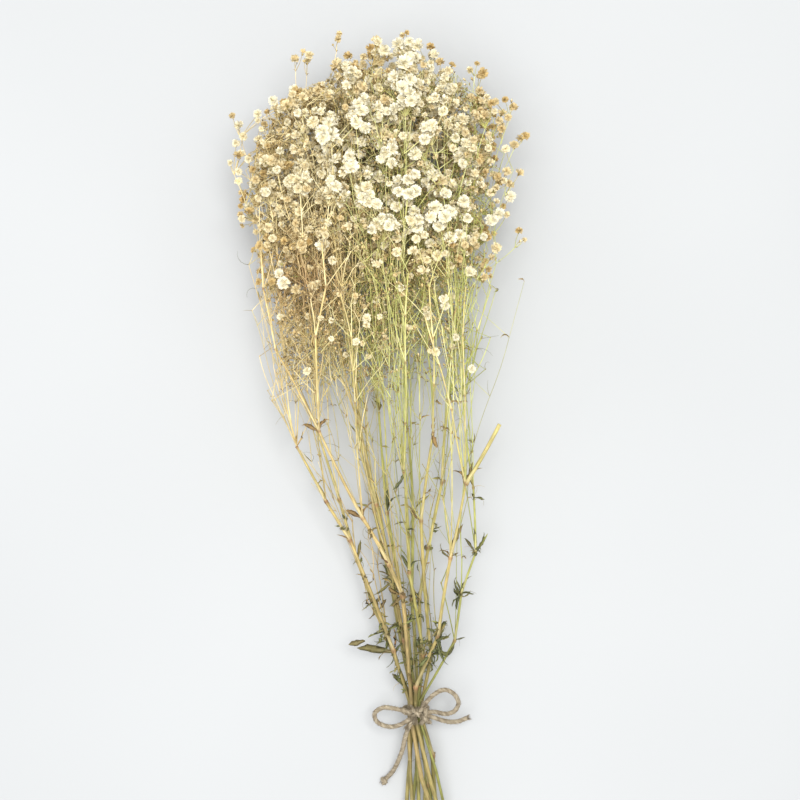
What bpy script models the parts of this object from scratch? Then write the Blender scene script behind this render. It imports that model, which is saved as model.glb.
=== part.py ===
"""A dried baby's breath bunch, tied with a bow of jute twine and lying on its side.

Each cut stem is a spray of its own: it passes through the tie, bends at its swollen joints, and
forks again and again until every twig ends in a small double blossom. The bunch lies on z = 0,
its blossoms towards +Y and its cut ends towards -Y, and the origin is under the middle of its box.
Places and sizes are planned in millimetres, and the meshes are made in metres.
"""

import math
import random
from collections import defaultdict, namedtuple

import bpy
from mathutils import Matrix, Vector

MM = 0.001

SEED = 7

# Blossoms, in mm: larger than life, one for each cluster. A petal's reach is a share of the half
# width, and its lift a share of the height.
BLOSSOM_WIDTH = 13.0
BLOSSOM_HEIGHT = 9.2
NECK_SHARE = 0.5
PETALS = 5
PETAL_TIP = (1.0, 0.42)
PETAL_NOTCH = (0.72, 0.62)
CLUSTER_SPACING = 21.0
CLUSTER_TRIES = 9000
OUTER_CROWDING = 0.42
CLUSTER_REACH = 9.5
CLUSTER_BLOSSOMS = (4, 6)
BLOSSOM_TRIES = 60
BLOSSOM_SPACING = 7.0
CLUSTER_STALK = 9.0
STALK_SHARE = 0.6

# Twigs, in mm: how far each fork goes towards the clusters that it carries
FORK_SHARE = (0.36, 0.64)
FORK_REACH = (0.38, 0.5)
SIDE_STEM_REACH = 0.3
ALONG_WEIGHT = 0.8
BELOW_BLOSSOMS = 16.0
SHORTEST_INTERNODE = 5.0
LONGEST_INTERNODE = 62.0
LOWEST_JOINT = 3.0
THINNEST_TWIG = 0.55
THINNING = 0.42
ROOT_BELOW = 0.8
ROOT_RADII = 2.2
STEM_SIDES = 5
TWIG_SIDES = 3
JOINT_SWELLING = 1.4
JOINT_SHOULDER = 5.0
CLEARANCE = 0.55
BEAD_SPACING = 1.2

# Leaves, in mm and radians
LEAF_LENGTH = (12, 25)
LEAF_WIDTH = (3.0, 4.2)
LEAF_THICKNESS = 1.0
LEAF_SECTIONS = ((0.0, 0.4), (0.45, 1.0))
LEAF_ROOT = 3.0
LEAF_ROOM = 2.6
LEAF_TRIES = 8
LEAF_TURN = 0.9
LEAF_LEAN = (0.35, 1.1)
LEAF_CURL = (-0.9, 1.6)

# Twine, in mm
TWINE_RADIUS = 1.8
TWINE_SIDES = 5
TWINE_STEPS = 2
WRAP_RADIUS = 9.1
WRAP_OFFSET = 1.6
WRAP_STEPS = 16

# The tie: where the twine gathers the stems, and what happens to them below it
TIE = Vector((30.0, -203.0, 21.0))
TIE_HALF_LENGTH = 7.0
TIE_TOP = 3  # the place in a stem's path where it leaves the tie upwards
WAIST = 0.84
TAIL_LENGTH = 108.5
TAIL_TURN = math.radians(-80)
TAIL_SPREAD = (3.0, 1.45)
TAIL_DRIFT = Vector((9.0, 0.0, -9.5))

# The bunch's form. Along y: the middle and half width in x, the middle and half height in z.
FORM = (
    (-203, 30, 7, 21, 7),
    (-115, 26, 36, 32, 21),
    (-39, 10, 57, 42, 34),
    (37, -4, 68, 52, 46),
    (112, -4, 84, 61, 57),
    (150, -4, 88, 64, 62),
    (187, -2, 95, 66, 64),
    (215, -1, 99, 66, 64),
    (243, 0, 92, 67, 59),
    (260, 7, 72, 67, 51),
    (276, 15, 52, 68, 41),
    (292, 15, 29, 69, 27),
    (302, 13, 9, 70, 9),
)
HEAD_LOW, HEAD_TOP = 150.0, 300.0
HEAD_RAGGED = 16.0
REST_HEIGHT = 3.6
UNDERSIDE_PRESS = 1.16
FLOOR_SLAB = ((-400, -400, -30), (400, 400, 0))

# Blossoms that stand out past the rest, in mm
STRAYS = (
    (-28, 304, 72), (-60, 290, 70), (-50, 284, 84), (75, 286, 72), (77, 279, 60), (102, 254, 70),
    (107, 232, 64), (111, 157, 60), (-103, 241, 66), (-109, 214, 62), (-69, 126, 86), (20, 307, 70),
    (84, 140, 92), (-92, 150, 48),
)
STRAY_BLOSSOMS = 2

# One spray for each cut stem: its seat in the tie (x and z from the middle), its radius, how much
# of the stem is left below the tie, the part of the head that it fills (across and depth, -1 to 1),
# and the joints that its stem bends at, from the tie upwards.
Spray = namedtuple("Spray", "name seat radius tail share joints")
SPRAYS = (
    Spray("spray_left", (-4.95, 1.43), 1.55, 0.36, (-0.78, 0.08),
          ((13, -156, 28), (-20, -70, 41), (-38, -40, 46), (-60, 2, 52))),
    Spray("spray_front_left", (-3.3, 4.3), 1.8, 0.97, (-0.42, 0.6),
          ((20, -112, 40), (10, -88, 45), (-10, -52, 54), (-42, 14, 70))),
    Spray("spray_inner_left", (-1.65, 1.43), 1.5, 0.4, (-0.36, -0.02),
          ((21, -149, 24), (0, -43, 40), (-14, 20, 50))),
    Spray("spray_back_left", (-3.3, -1.43), 1.5, 0.9, (-0.6, -0.55),
          ((8, -149, 18), (-15, -88, 20), (-29, -40, 23), (-46, 14, 29))),
    Spray("spray_middle", (0.0, -1.43), 1.5, 1.0, (-0.02, -0.04),
          ((24, -140, 20), (8, -50, 28), (2, 28, 38))),
    Spray("spray_front", (1.65, 1.43), 1.55, 0.93, (0.06, 0.62),
          ((36, -160, 27), (25, -94, 42), (21, -17, 60))),
    Spray("spray_inner_right", (4.95, 1.43), 1.6, 0.95, (0.36, 0.02),
          ((42, -160, 25), (34, -55, 42), (43, 13, 54))),
    Spray("spray_front_right", (0.0, 4.3), 1.65, 1.0, (0.58, 0.5),
          ((30, -184, 31), (47, -143, 42), (56, -82, 54), (67, -26, 63))),
    Spray("spray_right", (3.3, -1.43), 1.45, 0.96, (0.72, -0.1),
          ((33, -118, 20), (40, -77, 27), (50, -26, 38), (55, 40, 48))),
    Spray("spray_back_right", (3.3, 4.3), 1.1, 0.88, (0.66, -0.62),
          ((60, -148, 31), (65, -112, 32), (76, -80, 35), (74, -30, 38), (66, 40, 34))),
    Spray("spray_back_middle", (-1.65, -4.3), 1.5, 0.98, (-0.2, -0.64),
          ((12, -111, 12), (-2, -50, 13), (-14, 10, 15))),
    Spray("spray_back", (1.65, -4.3), 1.5, 0.94, (0.22, -0.62),
          ((27, -119, 12), (28, -50, 12), (24, 15, 15))),
)

# A side stem of the front right spray that was cut short, from the spray's last joint
STUB_OF = "spray_front_right"
STUB_END = Vector((92, 19, 69))
STUB_RADIUS = 1.5

# The bow, in mm: two loops and two tails from the knot on top of the tie
KNOT = Vector((34.0, -204.0, 32.0))
KNOT_ACROSS = ((-8, 4, -1.5), (-3, 1.5, 1.5), (3, -1.5, 1.5), (7, -4, -1.5))
KNOT_RADII = (2.2, 3.2, 3.2, 2.2)
END_KNOT = ((8, -260, 3.6), (3, -264.5, 3.2))
END_KNOT_RADIUS = 2.9
LEFT_LOOP = ((27, -203, 32), (18, -201, 31), (6, -200, 28), (-1, -204, 26), (-1, -210, 25),
             (4, -214, 25), (12, -215, 27), (20, -212, 30), (28, -206, 32))
RIGHT_LOOP = ((35, -199, 32), (43, -190, 32), (52, -186, 30), (60, -190, 28), (63, -197, 27),
              (60, -203, 27), (53, -205, 28), (45, -203, 30), (36, -203, 32))
RIGHT_TAIL = ((36, -205, 32), (43, -207, 30), (50, -210, 27), (57, -212, 24), (64, -212, 21),
              (70, -210, 19))
LEFT_TAIL = ((30, -207, 32), (25, -214, 31), (22, -223, 28), (20, -233, 24), (17, -243, 17),
             (13, -253, 9), (9, -259, 4), (5, -263, 2.6))

STRAW = (0.56, 0.43, 0.22)
JUTE = (0.47, 0.38, 0.27)


def clear_scene():
    for thing in list(bpy.data.objects):
        bpy.data.objects.remove(thing, do_unlink=True)


def plain_material(name, colour, roughness):
    material = bpy.data.materials.new(name)
    material.use_nodes = True
    shader = material.node_tree.nodes["Principled BSDF"]
    shader.inputs["Base Color"].default_value = (*colour, 1.0)
    shader.inputs["Roughness"].default_value = roughness
    shader.inputs["Metallic"].default_value = 0.0
    material.diffuse_color = (*colour, 1.0)
    return material


# The plan: where clusters of blossoms sit, and how each spray forks to reach them

Cluster = namedtuple("Cluster", "place blossoms")


def form_at(y):
    """The middle x, half width, middle z and half height of the bunch at y."""
    if y <= FORM[0][0]:
        return FORM[0][1:]
    for low, high in zip(FORM, FORM[1:]):
        if y <= high[0]:
            part = (y - low[0]) / (high[0] - low[0])
            return tuple(a + part * (b - a) for a, b in zip(low[1:], high[1:]))
    return FORM[-1][1:]


def place_in_form(y, across, depth):
    """A place in the bunch, whose underside is pressed flat by its weight."""
    middle_x, half_width, middle_z, half_height = form_at(y)
    if depth < 0:
        half_height *= UNDERSIDE_PRESS
    z = max(middle_z + depth * half_height, REST_HEIGHT)
    return Vector((middle_x + across * half_width, y, z))


def spray_at(place):
    """The spray whose share of the head holds this place."""
    return min(
        range(len(SPRAYS)),
        key=lambda i: (place_in_form(place.y, *SPRAYS[i].share) - place).length,
    )


def ragged_edge(angle):
    """How much lower the head hangs on this side of the bunch."""
    return HEAD_RAGGED * (math.sin(2 * angle + 0.6) + 0.6 * math.sin(5 * angle + 2.0))


def scatter_clusters(rng):
    """The clusters, spread evenly through the head and closer to its outside."""
    clusters = [Cluster(Vector(place), STRAY_BLOSSOMS) for place in STRAYS]
    for _ in range(CLUSTER_TRIES):
        angle = rng.uniform(-math.pi, math.pi)
        out = rng.random() ** OUTER_CROWDING
        y = rng.uniform(HEAD_LOW - HEAD_RAGGED * 2, HEAD_TOP)
        if y < HEAD_LOW - ragged_edge(angle):
            continue
        place = place_in_form(y, out * math.cos(angle), out * math.sin(angle))
        if all((place - other.place).length > CLUSTER_SPACING for other in clusters):
            clusters.append(Cluster(place, rng.randint(*CLUSTER_BLOSSOMS)))
    return clusters


def scatter_blossoms(cluster, rng):
    """The blossoms of one cluster, around its middle."""
    blossoms = [cluster.place.copy()]
    for _ in range(BLOSSOM_TRIES):
        if len(blossoms) == cluster.blossoms:
            break
        step = Vector((rng.gauss(0, 1), rng.gauss(0, 1), rng.gauss(0, 1)))
        place = cluster.place + step.normalized() * rng.uniform(0.6, 1.0) * CLUSTER_REACH
        place.z = max(place.z, REST_HEIGHT)
        if all((place - other).length > BLOSSOM_SPACING for other in blossoms):
            blossoms.append(place)
    return blossoms


def middle_of(clusters):
    return sum((cluster.place for cluster in clusters), Vector()) / len(clusters)


class Joint:
    """A joint of a spray. Its shoots grow from it, and at a twig's end it is a blossom."""

    def __init__(self, place, blossom=False, radius=THINNEST_TWIG):
        self.place = place
        self.blossom = blossom
        self.radius = radius
        self.shoots = []
        self.kept = False

    def blossoms(self):
        return int(self.blossom) + sum(shoot.blossoms() for shoot in self.shoots)


def halves(clusters, rng):
    """Two groups of neighbouring clusters, one for each shoot of a fork."""
    middle = middle_of(clusters)
    spread = [sum(abs(c.place[axis] - middle[axis]) for c in clusters) for axis in range(3)]
    spread[1] *= ALONG_WEIGHT
    axis = spread.index(max(spread))
    ordered = sorted(clusters, key=lambda c: c.place[axis])
    cut = round(len(ordered) * rng.uniform(*FORK_SHARE))
    cut = min(max(cut, 1), len(ordered) - 1)
    return ordered[:cut], ordered[cut:]


def flower(joint, cluster, rng):
    """Ends a twig in one cluster of blossoms."""
    way = cluster.place - joint.place
    base = Joint(cluster.place - way.normalized() * min(CLUSTER_STALK, STALK_SHARE * way.length))
    base.shoots = [Joint(place, blossom=True) for place in scatter_blossoms(cluster, rng)]
    joint.shoots.append(base)


def grow(joint, clusters, rng):
    """Forks a stem again and again until each twig carries one cluster."""
    if len(clusters) == 1:
        flower(joint, clusters[0], rng)
        return
    for group in halves(clusters, rng):
        step = (middle_of(group) - joint.place) * rng.uniform(*FORK_REACH)
        room = max(min(c.place.y for c in group) - BELOW_BLOSSOMS - joint.place.y, SHORTEST_INTERNODE)
        if step.y > room:
            step *= room / step.y
        step *= min(1.0, LONGEST_INTERNODE / step.length)
        child = Joint(joint.place + step)
        child.place.z = max(child.place.z, LOWEST_JOINT)
        joint.shoots.append(child)
        grow(child, group, rng)


def spray_tree(spray, clusters, rng):
    """The main stem's joints, with all that grows from the last two of them."""
    joints = [Joint(Vector(place)) for place in spray.joints]
    for low, high in zip(joints, joints[1:]):
        low.shoots.append(high)
    side, ahead = halves(clusters, rng)
    if (middle_of(side) - joints[-1].place).length < (middle_of(ahead) - joints[-1].place).length:
        side, ahead = ahead, side
    if len(side) > len(ahead):
        side, more = halves(side, rng)
        ahead = ahead + more
    fork = joints[-2]
    first = Joint(fork.place + (middle_of(side) - fork.place) * SIDE_STEM_REACH)
    fork.shoots.append(first)
    grow(first, side, rng)
    grow(joints[-1], ahead, rng)
    thicken(joints[0], spray.radius, joints[0].blossoms())
    return joints


def thicken(joint, radius, carried):
    """Twigs are thinner the fewer blossoms they carry."""
    share = joint.blossoms() / carried
    joint.radius = max(THINNEST_TWIG, radius * share**THINNING)
    for shoot in joint.shoots:
        thicken(shoot, radius, carried)


# Room: beads strung along what is already there, so that no spray grows into another

NOBODY, TWINE = -1, -2


def beads_along(places, radii):
    """Places and radii of beads along a path."""
    beads = []
    for low, high, r_low, r_high in zip(places, places[1:], radii, radii[1:]):
        steps = max(1, math.ceil((high - low).length / BEAD_SPACING))
        for i in range(steps + 1):
            part = i / steps
            beads.append((low.lerp(high, part), r_low + part * (r_high - r_low)))
    return beads


class Room:
    """Which spray holds each place in the bunch."""

    def __init__(self):
        self.cells = defaultdict(list)
        self.size = BLOSSOM_WIDTH + 2.0

    def cell(self, place):
        return tuple(math.floor(value / self.size) for value in place)

    def put(self, owner, beads):
        for place, radius in beads:
            self.cells[self.cell(place)].append((owner, place, radius))

    def clear(self, owner, beads):
        for place, radius in beads:
            x, y, z = self.cell(place)
            for i in (x - 1, x, x + 1):
                for j in (y - 1, y, y + 1):
                    for k in (z - 1, z, z + 1):
                        for other, there, its_radius in self.cells.get((i, j, k), ()):
                            if other == owner:
                                continue
                            if (there - place).length < radius + its_radius + CLEARANCE:
                                return False
        return True


def keep_twigs(owner, joint, room):
    """Keeps the twigs that stay clear of every other spray."""
    for shoot in joint.shoots:
        if shoot.blossom:
            continue
        beads = beads_along([joint.place, shoot.place], [joint.radius, shoot.radius])
        if room.clear(owner, beads):
            room.put(owner, beads)
            shoot.kept = True
            keep_twigs(owner, shoot, room)


def keep_blossoms(owner, joint, room):
    """Keeps one blossom of each cluster, larger than life, where there is the most room."""
    for shoot in joint.shoots:
        if shoot.kept and not shoot.blossom:
            keep_blossoms(owner, shoot, room)
    choices = []
    for shoot in joint.shoots:
        if shoot.blossom:
            twig = beads_along([joint.place, shoot.place], [joint.radius, shoot.radius])
            bloom = [(shoot.place, BLOSSOM_WIDTH / 2)]
            if room.clear(owner, twig + bloom):
                choices.append((not room.clear(NOBODY, bloom), len(choices), shoot, twig + bloom))
    if choices:
        _, _, shoot, beads = min(choices, key=lambda choice: choice[:2])
        shoot.kept = True
        room.put(owner, beads)


# The meshes


def new_object(name, points, faces, material):
    mesh = bpy.data.meshes.new(name)
    mesh.from_pydata([tuple(p * MM) for p in points], [], faces)
    mesh.materials.append(material)
    thing = bpy.data.objects.new(name, mesh)
    return thing


def frames_along(places):
    """A steady pair of cross directions at each place of a path."""
    headings = []
    for i in range(len(places)):
        before = places[max(i - 1, 0)]
        after = places[min(i + 1, len(places) - 1)]
        headings.append((after - before).normalized())
    side = headings[0].orthogonal().normalized()
    frames = []
    for heading in headings:
        side = (side - heading * side.dot(heading)).normalized()
        frames.append((side, heading.cross(side)))
    return headings, frames


def ring(middle, frame, radius, sides):
    points = []
    for i in range(sides):
        angle = math.tau * i / sides
        points.append(middle + radius * (frame[0] * math.cos(angle) + frame[1] * math.sin(angle)))
    return points


def bridge(first, count_first, second, count_second):
    """Triangles between two rings of any counts that start at the same side."""
    faces = []
    i = j = 0
    while i < count_first or j < count_second:
        if j * count_first <= i * count_second and j < count_second or i == count_first:
            faces.append((first + i % count_first, second + (j + 1) % count_second,
                          second + j % count_second))
            j += 1
        else:
            faces.append((first + i % count_first, first + (i + 1) % count_first,
                          second + j % count_second))
            i += 1
    return faces


def open_tube(places, radii, sides):
    """Points and faces of a tube that is closed at its start and open at its end."""
    frames = frames_along(places)[1]
    points = []
    faces = [tuple(reversed(range(sides)))]
    for place, frame, radius in zip(places, frames, radii):
        points += ring(place, frame, radius, sides)
    for i in range(len(places) - 1):
        faces += bridge(i * sides, sides, (i + 1) * sides, sides)
    return points, faces


def tube(places, radii, sides):
    """A tube with flat ends."""
    points, faces = open_tube(places, radii, sides)
    faces.append(tuple(range(len(points) - sides, len(points))))
    return points, faces


def blossom_twig(places, radii):
    """A twig that ends in a double blossom: a neck, a frilled rim of petals and a raised crown."""
    neck = places[-1] - (places[-1] - places[-2]).normalized() * BLOSSOM_HEIGHT * NECK_SHARE
    path = places[:-1] + [neck]
    points, faces = open_tube(path, radii + [THINNEST_TWIG], TWIG_SIDES)
    headings, frames = frames_along(path)
    heading, (side, up) = headings[-1], frames[-1]
    rim = []
    for i in range(PETALS * 2):
        angle = math.tau * i / (PETALS * 2)
        reach, lift = PETAL_NOTCH if i % 2 else PETAL_TIP
        out = side * math.cos(angle) + up * math.sin(angle)
        rim.append(neck + heading * lift * BLOSSOM_HEIGHT + out * reach * BLOSSOM_WIDTH / 2)
    crown = neck + heading * BLOSSOM_HEIGHT
    first = len(points)
    points += rim + [crown]
    faces += bridge(first - TWIG_SIDES, TWIG_SIDES, first, len(rim))
    last = len(points) - 1
    faces += [(first + i, first + (i + 1) % len(rim), last) for i in range(len(rim))]
    return points, faces


def leaf_blade(base, heading, side, length, width, curl):
    """A narrow folded leaf with three-cornered sections, from its root to a point."""
    up = heading.cross(side).normalized()
    points = []
    for along, broad in LEAF_SECTIONS:
        bend = Matrix.Rotation(curl * along, 3, side)
        middle = base + bend @ (heading * length * along)
        lift = bend @ up
        half = side * width / 2 * broad
        points += [middle - half, middle - lift * LEAF_THICKNESS, middle + half]
    points.append(base + Matrix.Rotation(curl, 3, side) @ (heading * length))
    faces = [(2, 1, 0)]
    faces += bridge(0, 3, 3, 3)
    faces += [(3, 4, 6), (4, 5, 6), (5, 3, 6)]
    return points, faces


def fuse(name, pieces, material):
    """One solid from overlapping pieces, cut flat where it rests on z = 0."""
    things = [new_object(f"{name}_{i}", *piece, material) for i, piece in enumerate(pieces)]
    whole, repeats = things[0], things[1:]
    whole.name = name
    bpy.context.scene.collection.objects.link(whole)
    group = bpy.data.collections.new(name + "_repeats")
    bpy.context.scene.collection.children.link(group)
    for thing in repeats:
        group.objects.link(thing)
    apply_boolean(whole, "UNION", collection=group)
    for thing in repeats:
        bpy.data.objects.remove(thing, do_unlink=True)
    bpy.data.collections.remove(group)
    slab = new_object(name + "_floor", *box(*FLOOR_SLAB), material)
    bpy.context.scene.collection.objects.link(slab)
    apply_boolean(whole, "DIFFERENCE", thing=slab)
    bpy.data.objects.remove(slab, do_unlink=True)


def apply_boolean(whole, operation, collection=None, thing=None):
    """Joins a collection's meshes to a mesh, or cuts one object from it."""
    modifier = whole.modifiers.new(operation, "BOOLEAN")
    modifier.operation = operation
    modifier.solver = "MANIFOLD"
    if collection:
        modifier.operand_type = "COLLECTION"
        modifier.collection = collection
    else:
        modifier.object = thing
    bpy.context.view_layer.update()
    depsgraph = bpy.context.evaluated_depsgraph_get()
    mesh = bpy.data.meshes.new_from_object(whole.evaluated_get(depsgraph))
    whole.modifiers.clear()
    whole.data = mesh


def box(low, high):
    points = [Vector((x, y, z)) for x in (low[0], high[0]) for y in (low[1], high[1])
              for z in (low[2], high[2])]
    faces = [(0, 1, 3, 2), (4, 6, 7, 5), (0, 4, 5, 1), (2, 3, 7, 6), (0, 2, 6, 4), (1, 5, 7, 3)]
    return points, faces


# The sprays


def below_tie(spray, part):
    """Where a stem passes at this part of the way from the tie to the longest cut end."""
    turn = Matrix.Rotation(TAIL_TURN * part, 2)
    across, up = turn @ Vector(spray.seat)
    across *= 1 + TAIL_SPREAD[0] * part
    up *= 1 + TAIL_SPREAD[1] * part
    return TIE + TAIL_DRIFT * part + Vector((across, -TAIL_LENGTH * part, up))


def stem_path(spray, joints):
    """Places and radii of a spray's main stem, from its cut end to its last bend."""
    places = []
    radii = []
    for part in (spray.tail, spray.tail * 0.5):
        places.append(below_tie(spray, part))
        radii.append(spray.radius)
    seat = TIE + Vector((spray.seat[0], 0, spray.seat[1]))
    for side in (-1, 1):
        places.append(seat + Vector((0, side * TIE_HALF_LENGTH, 0)))
        radii.append(spray.radius * WAIST)
    for joint in joints:
        way = (joint.place - places[-1]).normalized()
        if joint is not joints[-1]:
            places.append(joint.place - way * JOINT_SHOULDER)
            radii.append(joint.radius)
        places.append(joint.place)
        radii.append(joint.radius * JOINT_SWELLING)
    return places, radii


def runs(before, joint):
    """Each kept blossom's twig as a run of joints, the thickest shoot carrying straight on."""
    kept = [shoot for shoot in joint.shoots if shoot.kept]
    if len(kept) == 1 and kept[0].blossom:
        return [kept]
    kept.sort(key=lambda shoot: -shoot.blossoms())
    found = []
    for shoot in kept:
        inner = runs(joint.place, shoot)
        if inner:
            inner[0] = [root_of(before, joint, shoot) if found else joint] + inner[0]
        found += inner
    return found


def root_of(before, joint, shoot):
    """Where a side shoot roots: a little below the joint, where the older twig is straight."""
    back = (before - joint.place).normalized()
    return Joint(joint.place + back * (ROOT_BELOW + ROOT_RADII * joint.radius), radius=shoot.radius)


def spray_pieces(index, spray, joints, room, rng):
    """The main stem, its twigs with their blossoms, and its leaves, still apart."""
    places, radii = stem_path(spray, joints)
    pieces = [tube(places, radii, STEM_SIDES)]
    before = places[TIE_TOP]
    for joint in joints:
        side = [shoot for shoot in joint.shoots if shoot.kept and shoot not in joints]
        for shoot in side:
            found = runs(joint.place, shoot)
            if found:
                found[0] = [root_of(before, joint, shoot)] + found[0]
            for run in found:
                pieces.append(blossom_twig([j.place for j in run], [j.radius for j in run[:-1]]))
        before = joint.place
    if spray.name == STUB_OF:
        pieces.append(tube([before, STUB_END], [STUB_RADIUS, STUB_RADIUS], STEM_SIDES))
    return pieces + leaves(index, joints, room, rng)


def try_leaf(root, opposite, rng):
    """A leaf's shape at random, and where its tip would be."""
    length = rng.uniform(*LEAF_LENGTH)
    width = rng.uniform(*LEAF_WIDTH)
    turn = rng.uniform(-LEAF_TURN, LEAF_TURN) + opposite
    lean = rng.uniform(*LEAF_LEAN)
    out = Vector((math.cos(turn), 0, math.sin(turn)))
    heading = (Vector((0, math.cos(lean), 0)) + out * math.sin(lean)).normalized()
    side = heading.cross(out).normalized()
    curl = rng.uniform(*LEAF_CURL)
    tip = root + Matrix.Rotation(curl, 3, side) @ (heading * length)
    return (root, heading, side, length, width, curl), tip


def leaves(index, joints, room, rng):
    """A pair of narrow dried leaves at each joint of the main stem, where there is room."""
    pieces = []
    for joint, after in zip(joints, joints[1:] + [joints[-1].shoots[0]]):
        root = joint.place + (after.place - joint.place).normalized() * LEAF_ROOT
        for opposite in (0, math.pi):
            for _ in range(LEAF_TRIES):
                shape, tip = try_leaf(root, opposite, rng)
                beads = beads_along([root, tip], [LEAF_ROOM, LEAF_ROOM])
                if tip.z > LOWEST_JOINT and room.clear(index, beads):
                    room.put(index, beads)
                    pieces.append(leaf_blade(*shape))
                    break
    return pieces


def make_sprays(material):
    """Grows every spray first, so that each one's twigs keep clear of the others."""
    rng = random.Random(SEED)
    shares = defaultdict(list)
    for cluster in scatter_clusters(rng):
        shares[spray_at(cluster.place)].append(cluster)
    trees = [spray_tree(spray, shares[i], rng) for i, spray in enumerate(SPRAYS)]
    room = Room()
    for i, (spray, joints) in enumerate(zip(SPRAYS, trees)):
        room.put(i, beads_along(*stem_path(spray, joints)))
        if spray.name == STUB_OF:
            room.put(i, beads_along([joints[-1].place, STUB_END], [STUB_RADIUS, STUB_RADIUS]))
    for route in (LEFT_LOOP, RIGHT_LOOP, RIGHT_TAIL, LEFT_TAIL):
        room.put(TWINE, beads_along([Vector(p) for p in route], [TWINE_RADIUS] * len(route)))
    for i, joints in enumerate(trees):
        keep_twigs(i, joints[0], room)
    for i, joints in enumerate(trees):
        keep_blossoms(i, joints[0], room)
    for i, (spray, joints) in enumerate(zip(SPRAYS, trees)):
        fuse(spray.name, spray_pieces(i, spray, joints, room, rng), material)


# The twine


def smooth_path(places, steps):
    """A path through the given places, rounded off between them."""
    points = [Vector(p) for p in places]
    path = []
    for i in range(len(points) - 1):
        before = points[max(i - 1, 0)]
        after = points[min(i + 2, len(points) - 1)]
        for k in range(steps):
            t = k / steps
            a, b = points[i], points[i + 1]
            path.append(0.5 * (2 * a + (b - before) * t + (2 * before - 5 * a + 4 * b - after) * t**2
                               + (3 * a - before - 3 * b + after) * t**3))
    path.append(points[-1])
    return path


def closed_ring(middle, radius, thickness, steps, sides):
    """A turn of twine right round the stems."""
    points = []
    faces = []
    for i in range(steps):
        angle = math.tau * i / steps
        out = Vector((math.cos(angle), 0, math.sin(angle)))
        points += ring(middle + out * radius, (out, Vector((0, 1, 0))), thickness, sides)
    for i in range(steps):
        for j in range(sides):
            a, b = i * sides + j, i * sides + (j + 1) % sides
            c, d = (a + sides) % (steps * sides), (b + sides) % (steps * sides)
            faces.append((a, b, d, c))
    return points, faces


def make_twine(material):
    """Two turns round the stems, the knot on top of them, its loops and tails, and a small end knot."""
    pieces = []
    for offset in (-WRAP_OFFSET, WRAP_OFFSET):
        middle = TIE + Vector((0, offset, 0))
        pieces.append(closed_ring(middle, WRAP_RADIUS, TWINE_RADIUS, WRAP_STEPS, TWINE_SIDES))
    for route in (LEFT_LOOP, RIGHT_LOOP, RIGHT_TAIL, LEFT_TAIL):
        path = smooth_path(route, TWINE_STEPS)
        pieces.append(tube(path, [TWINE_RADIUS] * len(path), TWINE_SIDES))
    across = [KNOT + Vector(step) for step in KNOT_ACROSS]
    pieces.append(tube(across, KNOT_RADII, TWINE_SIDES))
    ends = [Vector(place) for place in END_KNOT]
    pieces.append(tube(ends, [END_KNOT_RADIUS] * 2, TWINE_SIDES))
    fuse("twine_tie", pieces, material)


def main():
    clear_scene()
    make_sprays(plain_material("dried_spray", STRAW, 0.85))
    make_twine(plain_material("jute", JUTE, 0.95))


main()
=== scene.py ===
"""A dried baby's breath bunch on a pale floor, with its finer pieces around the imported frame.

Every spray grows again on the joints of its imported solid, from the same plan. Its twigs get their
true thickness, each cluster gets all of its double blossoms, and thin side stems, forking twigs with
buds, bracts and curled leaves are added. The bow is twisted jute. Places are planned in millimetres
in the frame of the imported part, and the meshes are made in metres.
"""

import math
import random
from collections import defaultdict, namedtuple

import bpy
import numpy as np
from mathutils import Matrix, Vector, noise

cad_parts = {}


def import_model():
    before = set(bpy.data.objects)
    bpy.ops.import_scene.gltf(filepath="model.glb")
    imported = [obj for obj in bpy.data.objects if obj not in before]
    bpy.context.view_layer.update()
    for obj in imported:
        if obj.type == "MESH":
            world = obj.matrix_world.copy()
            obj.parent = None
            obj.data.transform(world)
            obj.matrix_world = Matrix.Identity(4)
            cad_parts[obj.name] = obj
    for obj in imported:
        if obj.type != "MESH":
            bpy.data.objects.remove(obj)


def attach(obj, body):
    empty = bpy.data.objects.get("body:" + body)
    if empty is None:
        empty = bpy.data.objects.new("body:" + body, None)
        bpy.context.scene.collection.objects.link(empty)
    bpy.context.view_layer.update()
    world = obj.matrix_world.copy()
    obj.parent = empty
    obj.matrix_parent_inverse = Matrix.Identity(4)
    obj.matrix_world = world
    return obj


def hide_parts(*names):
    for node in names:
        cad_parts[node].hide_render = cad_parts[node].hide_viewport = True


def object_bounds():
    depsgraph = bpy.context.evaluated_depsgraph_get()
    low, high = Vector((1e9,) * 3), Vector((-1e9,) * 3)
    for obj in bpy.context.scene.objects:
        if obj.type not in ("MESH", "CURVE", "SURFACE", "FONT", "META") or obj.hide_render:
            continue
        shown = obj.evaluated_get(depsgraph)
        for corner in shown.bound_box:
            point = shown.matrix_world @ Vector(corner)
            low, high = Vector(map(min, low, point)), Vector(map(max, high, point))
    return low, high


MM = 0.001
SEED = 7

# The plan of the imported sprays: clusters, twigs and their joints, in mm
CLUSTER_SPACING = 21.0
CLUSTER_TRIES = 9000
OUTER_CROWDING = 0.42
CLUSTER_REACH = 9.5
CLUSTER_BLOSSOMS = (4, 6)
BLOSSOM_TRIES = 60
BLOSSOM_SPACING = 7.0
CLUSTER_STALK = 9.0
STALK_SHARE = 0.6
FORK_SHARE = (0.36, 0.64)
FORK_REACH = (0.38, 0.5)
SIDE_STEM_REACH = 0.3
ALONG_WEIGHT = 0.8
BELOW_BLOSSOMS = 16.0
SHORTEST_INTERNODE = 5.0
LONGEST_INTERNODE = 62.0
LOWEST_JOINT = 3.0
THINNING = 0.42

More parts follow.
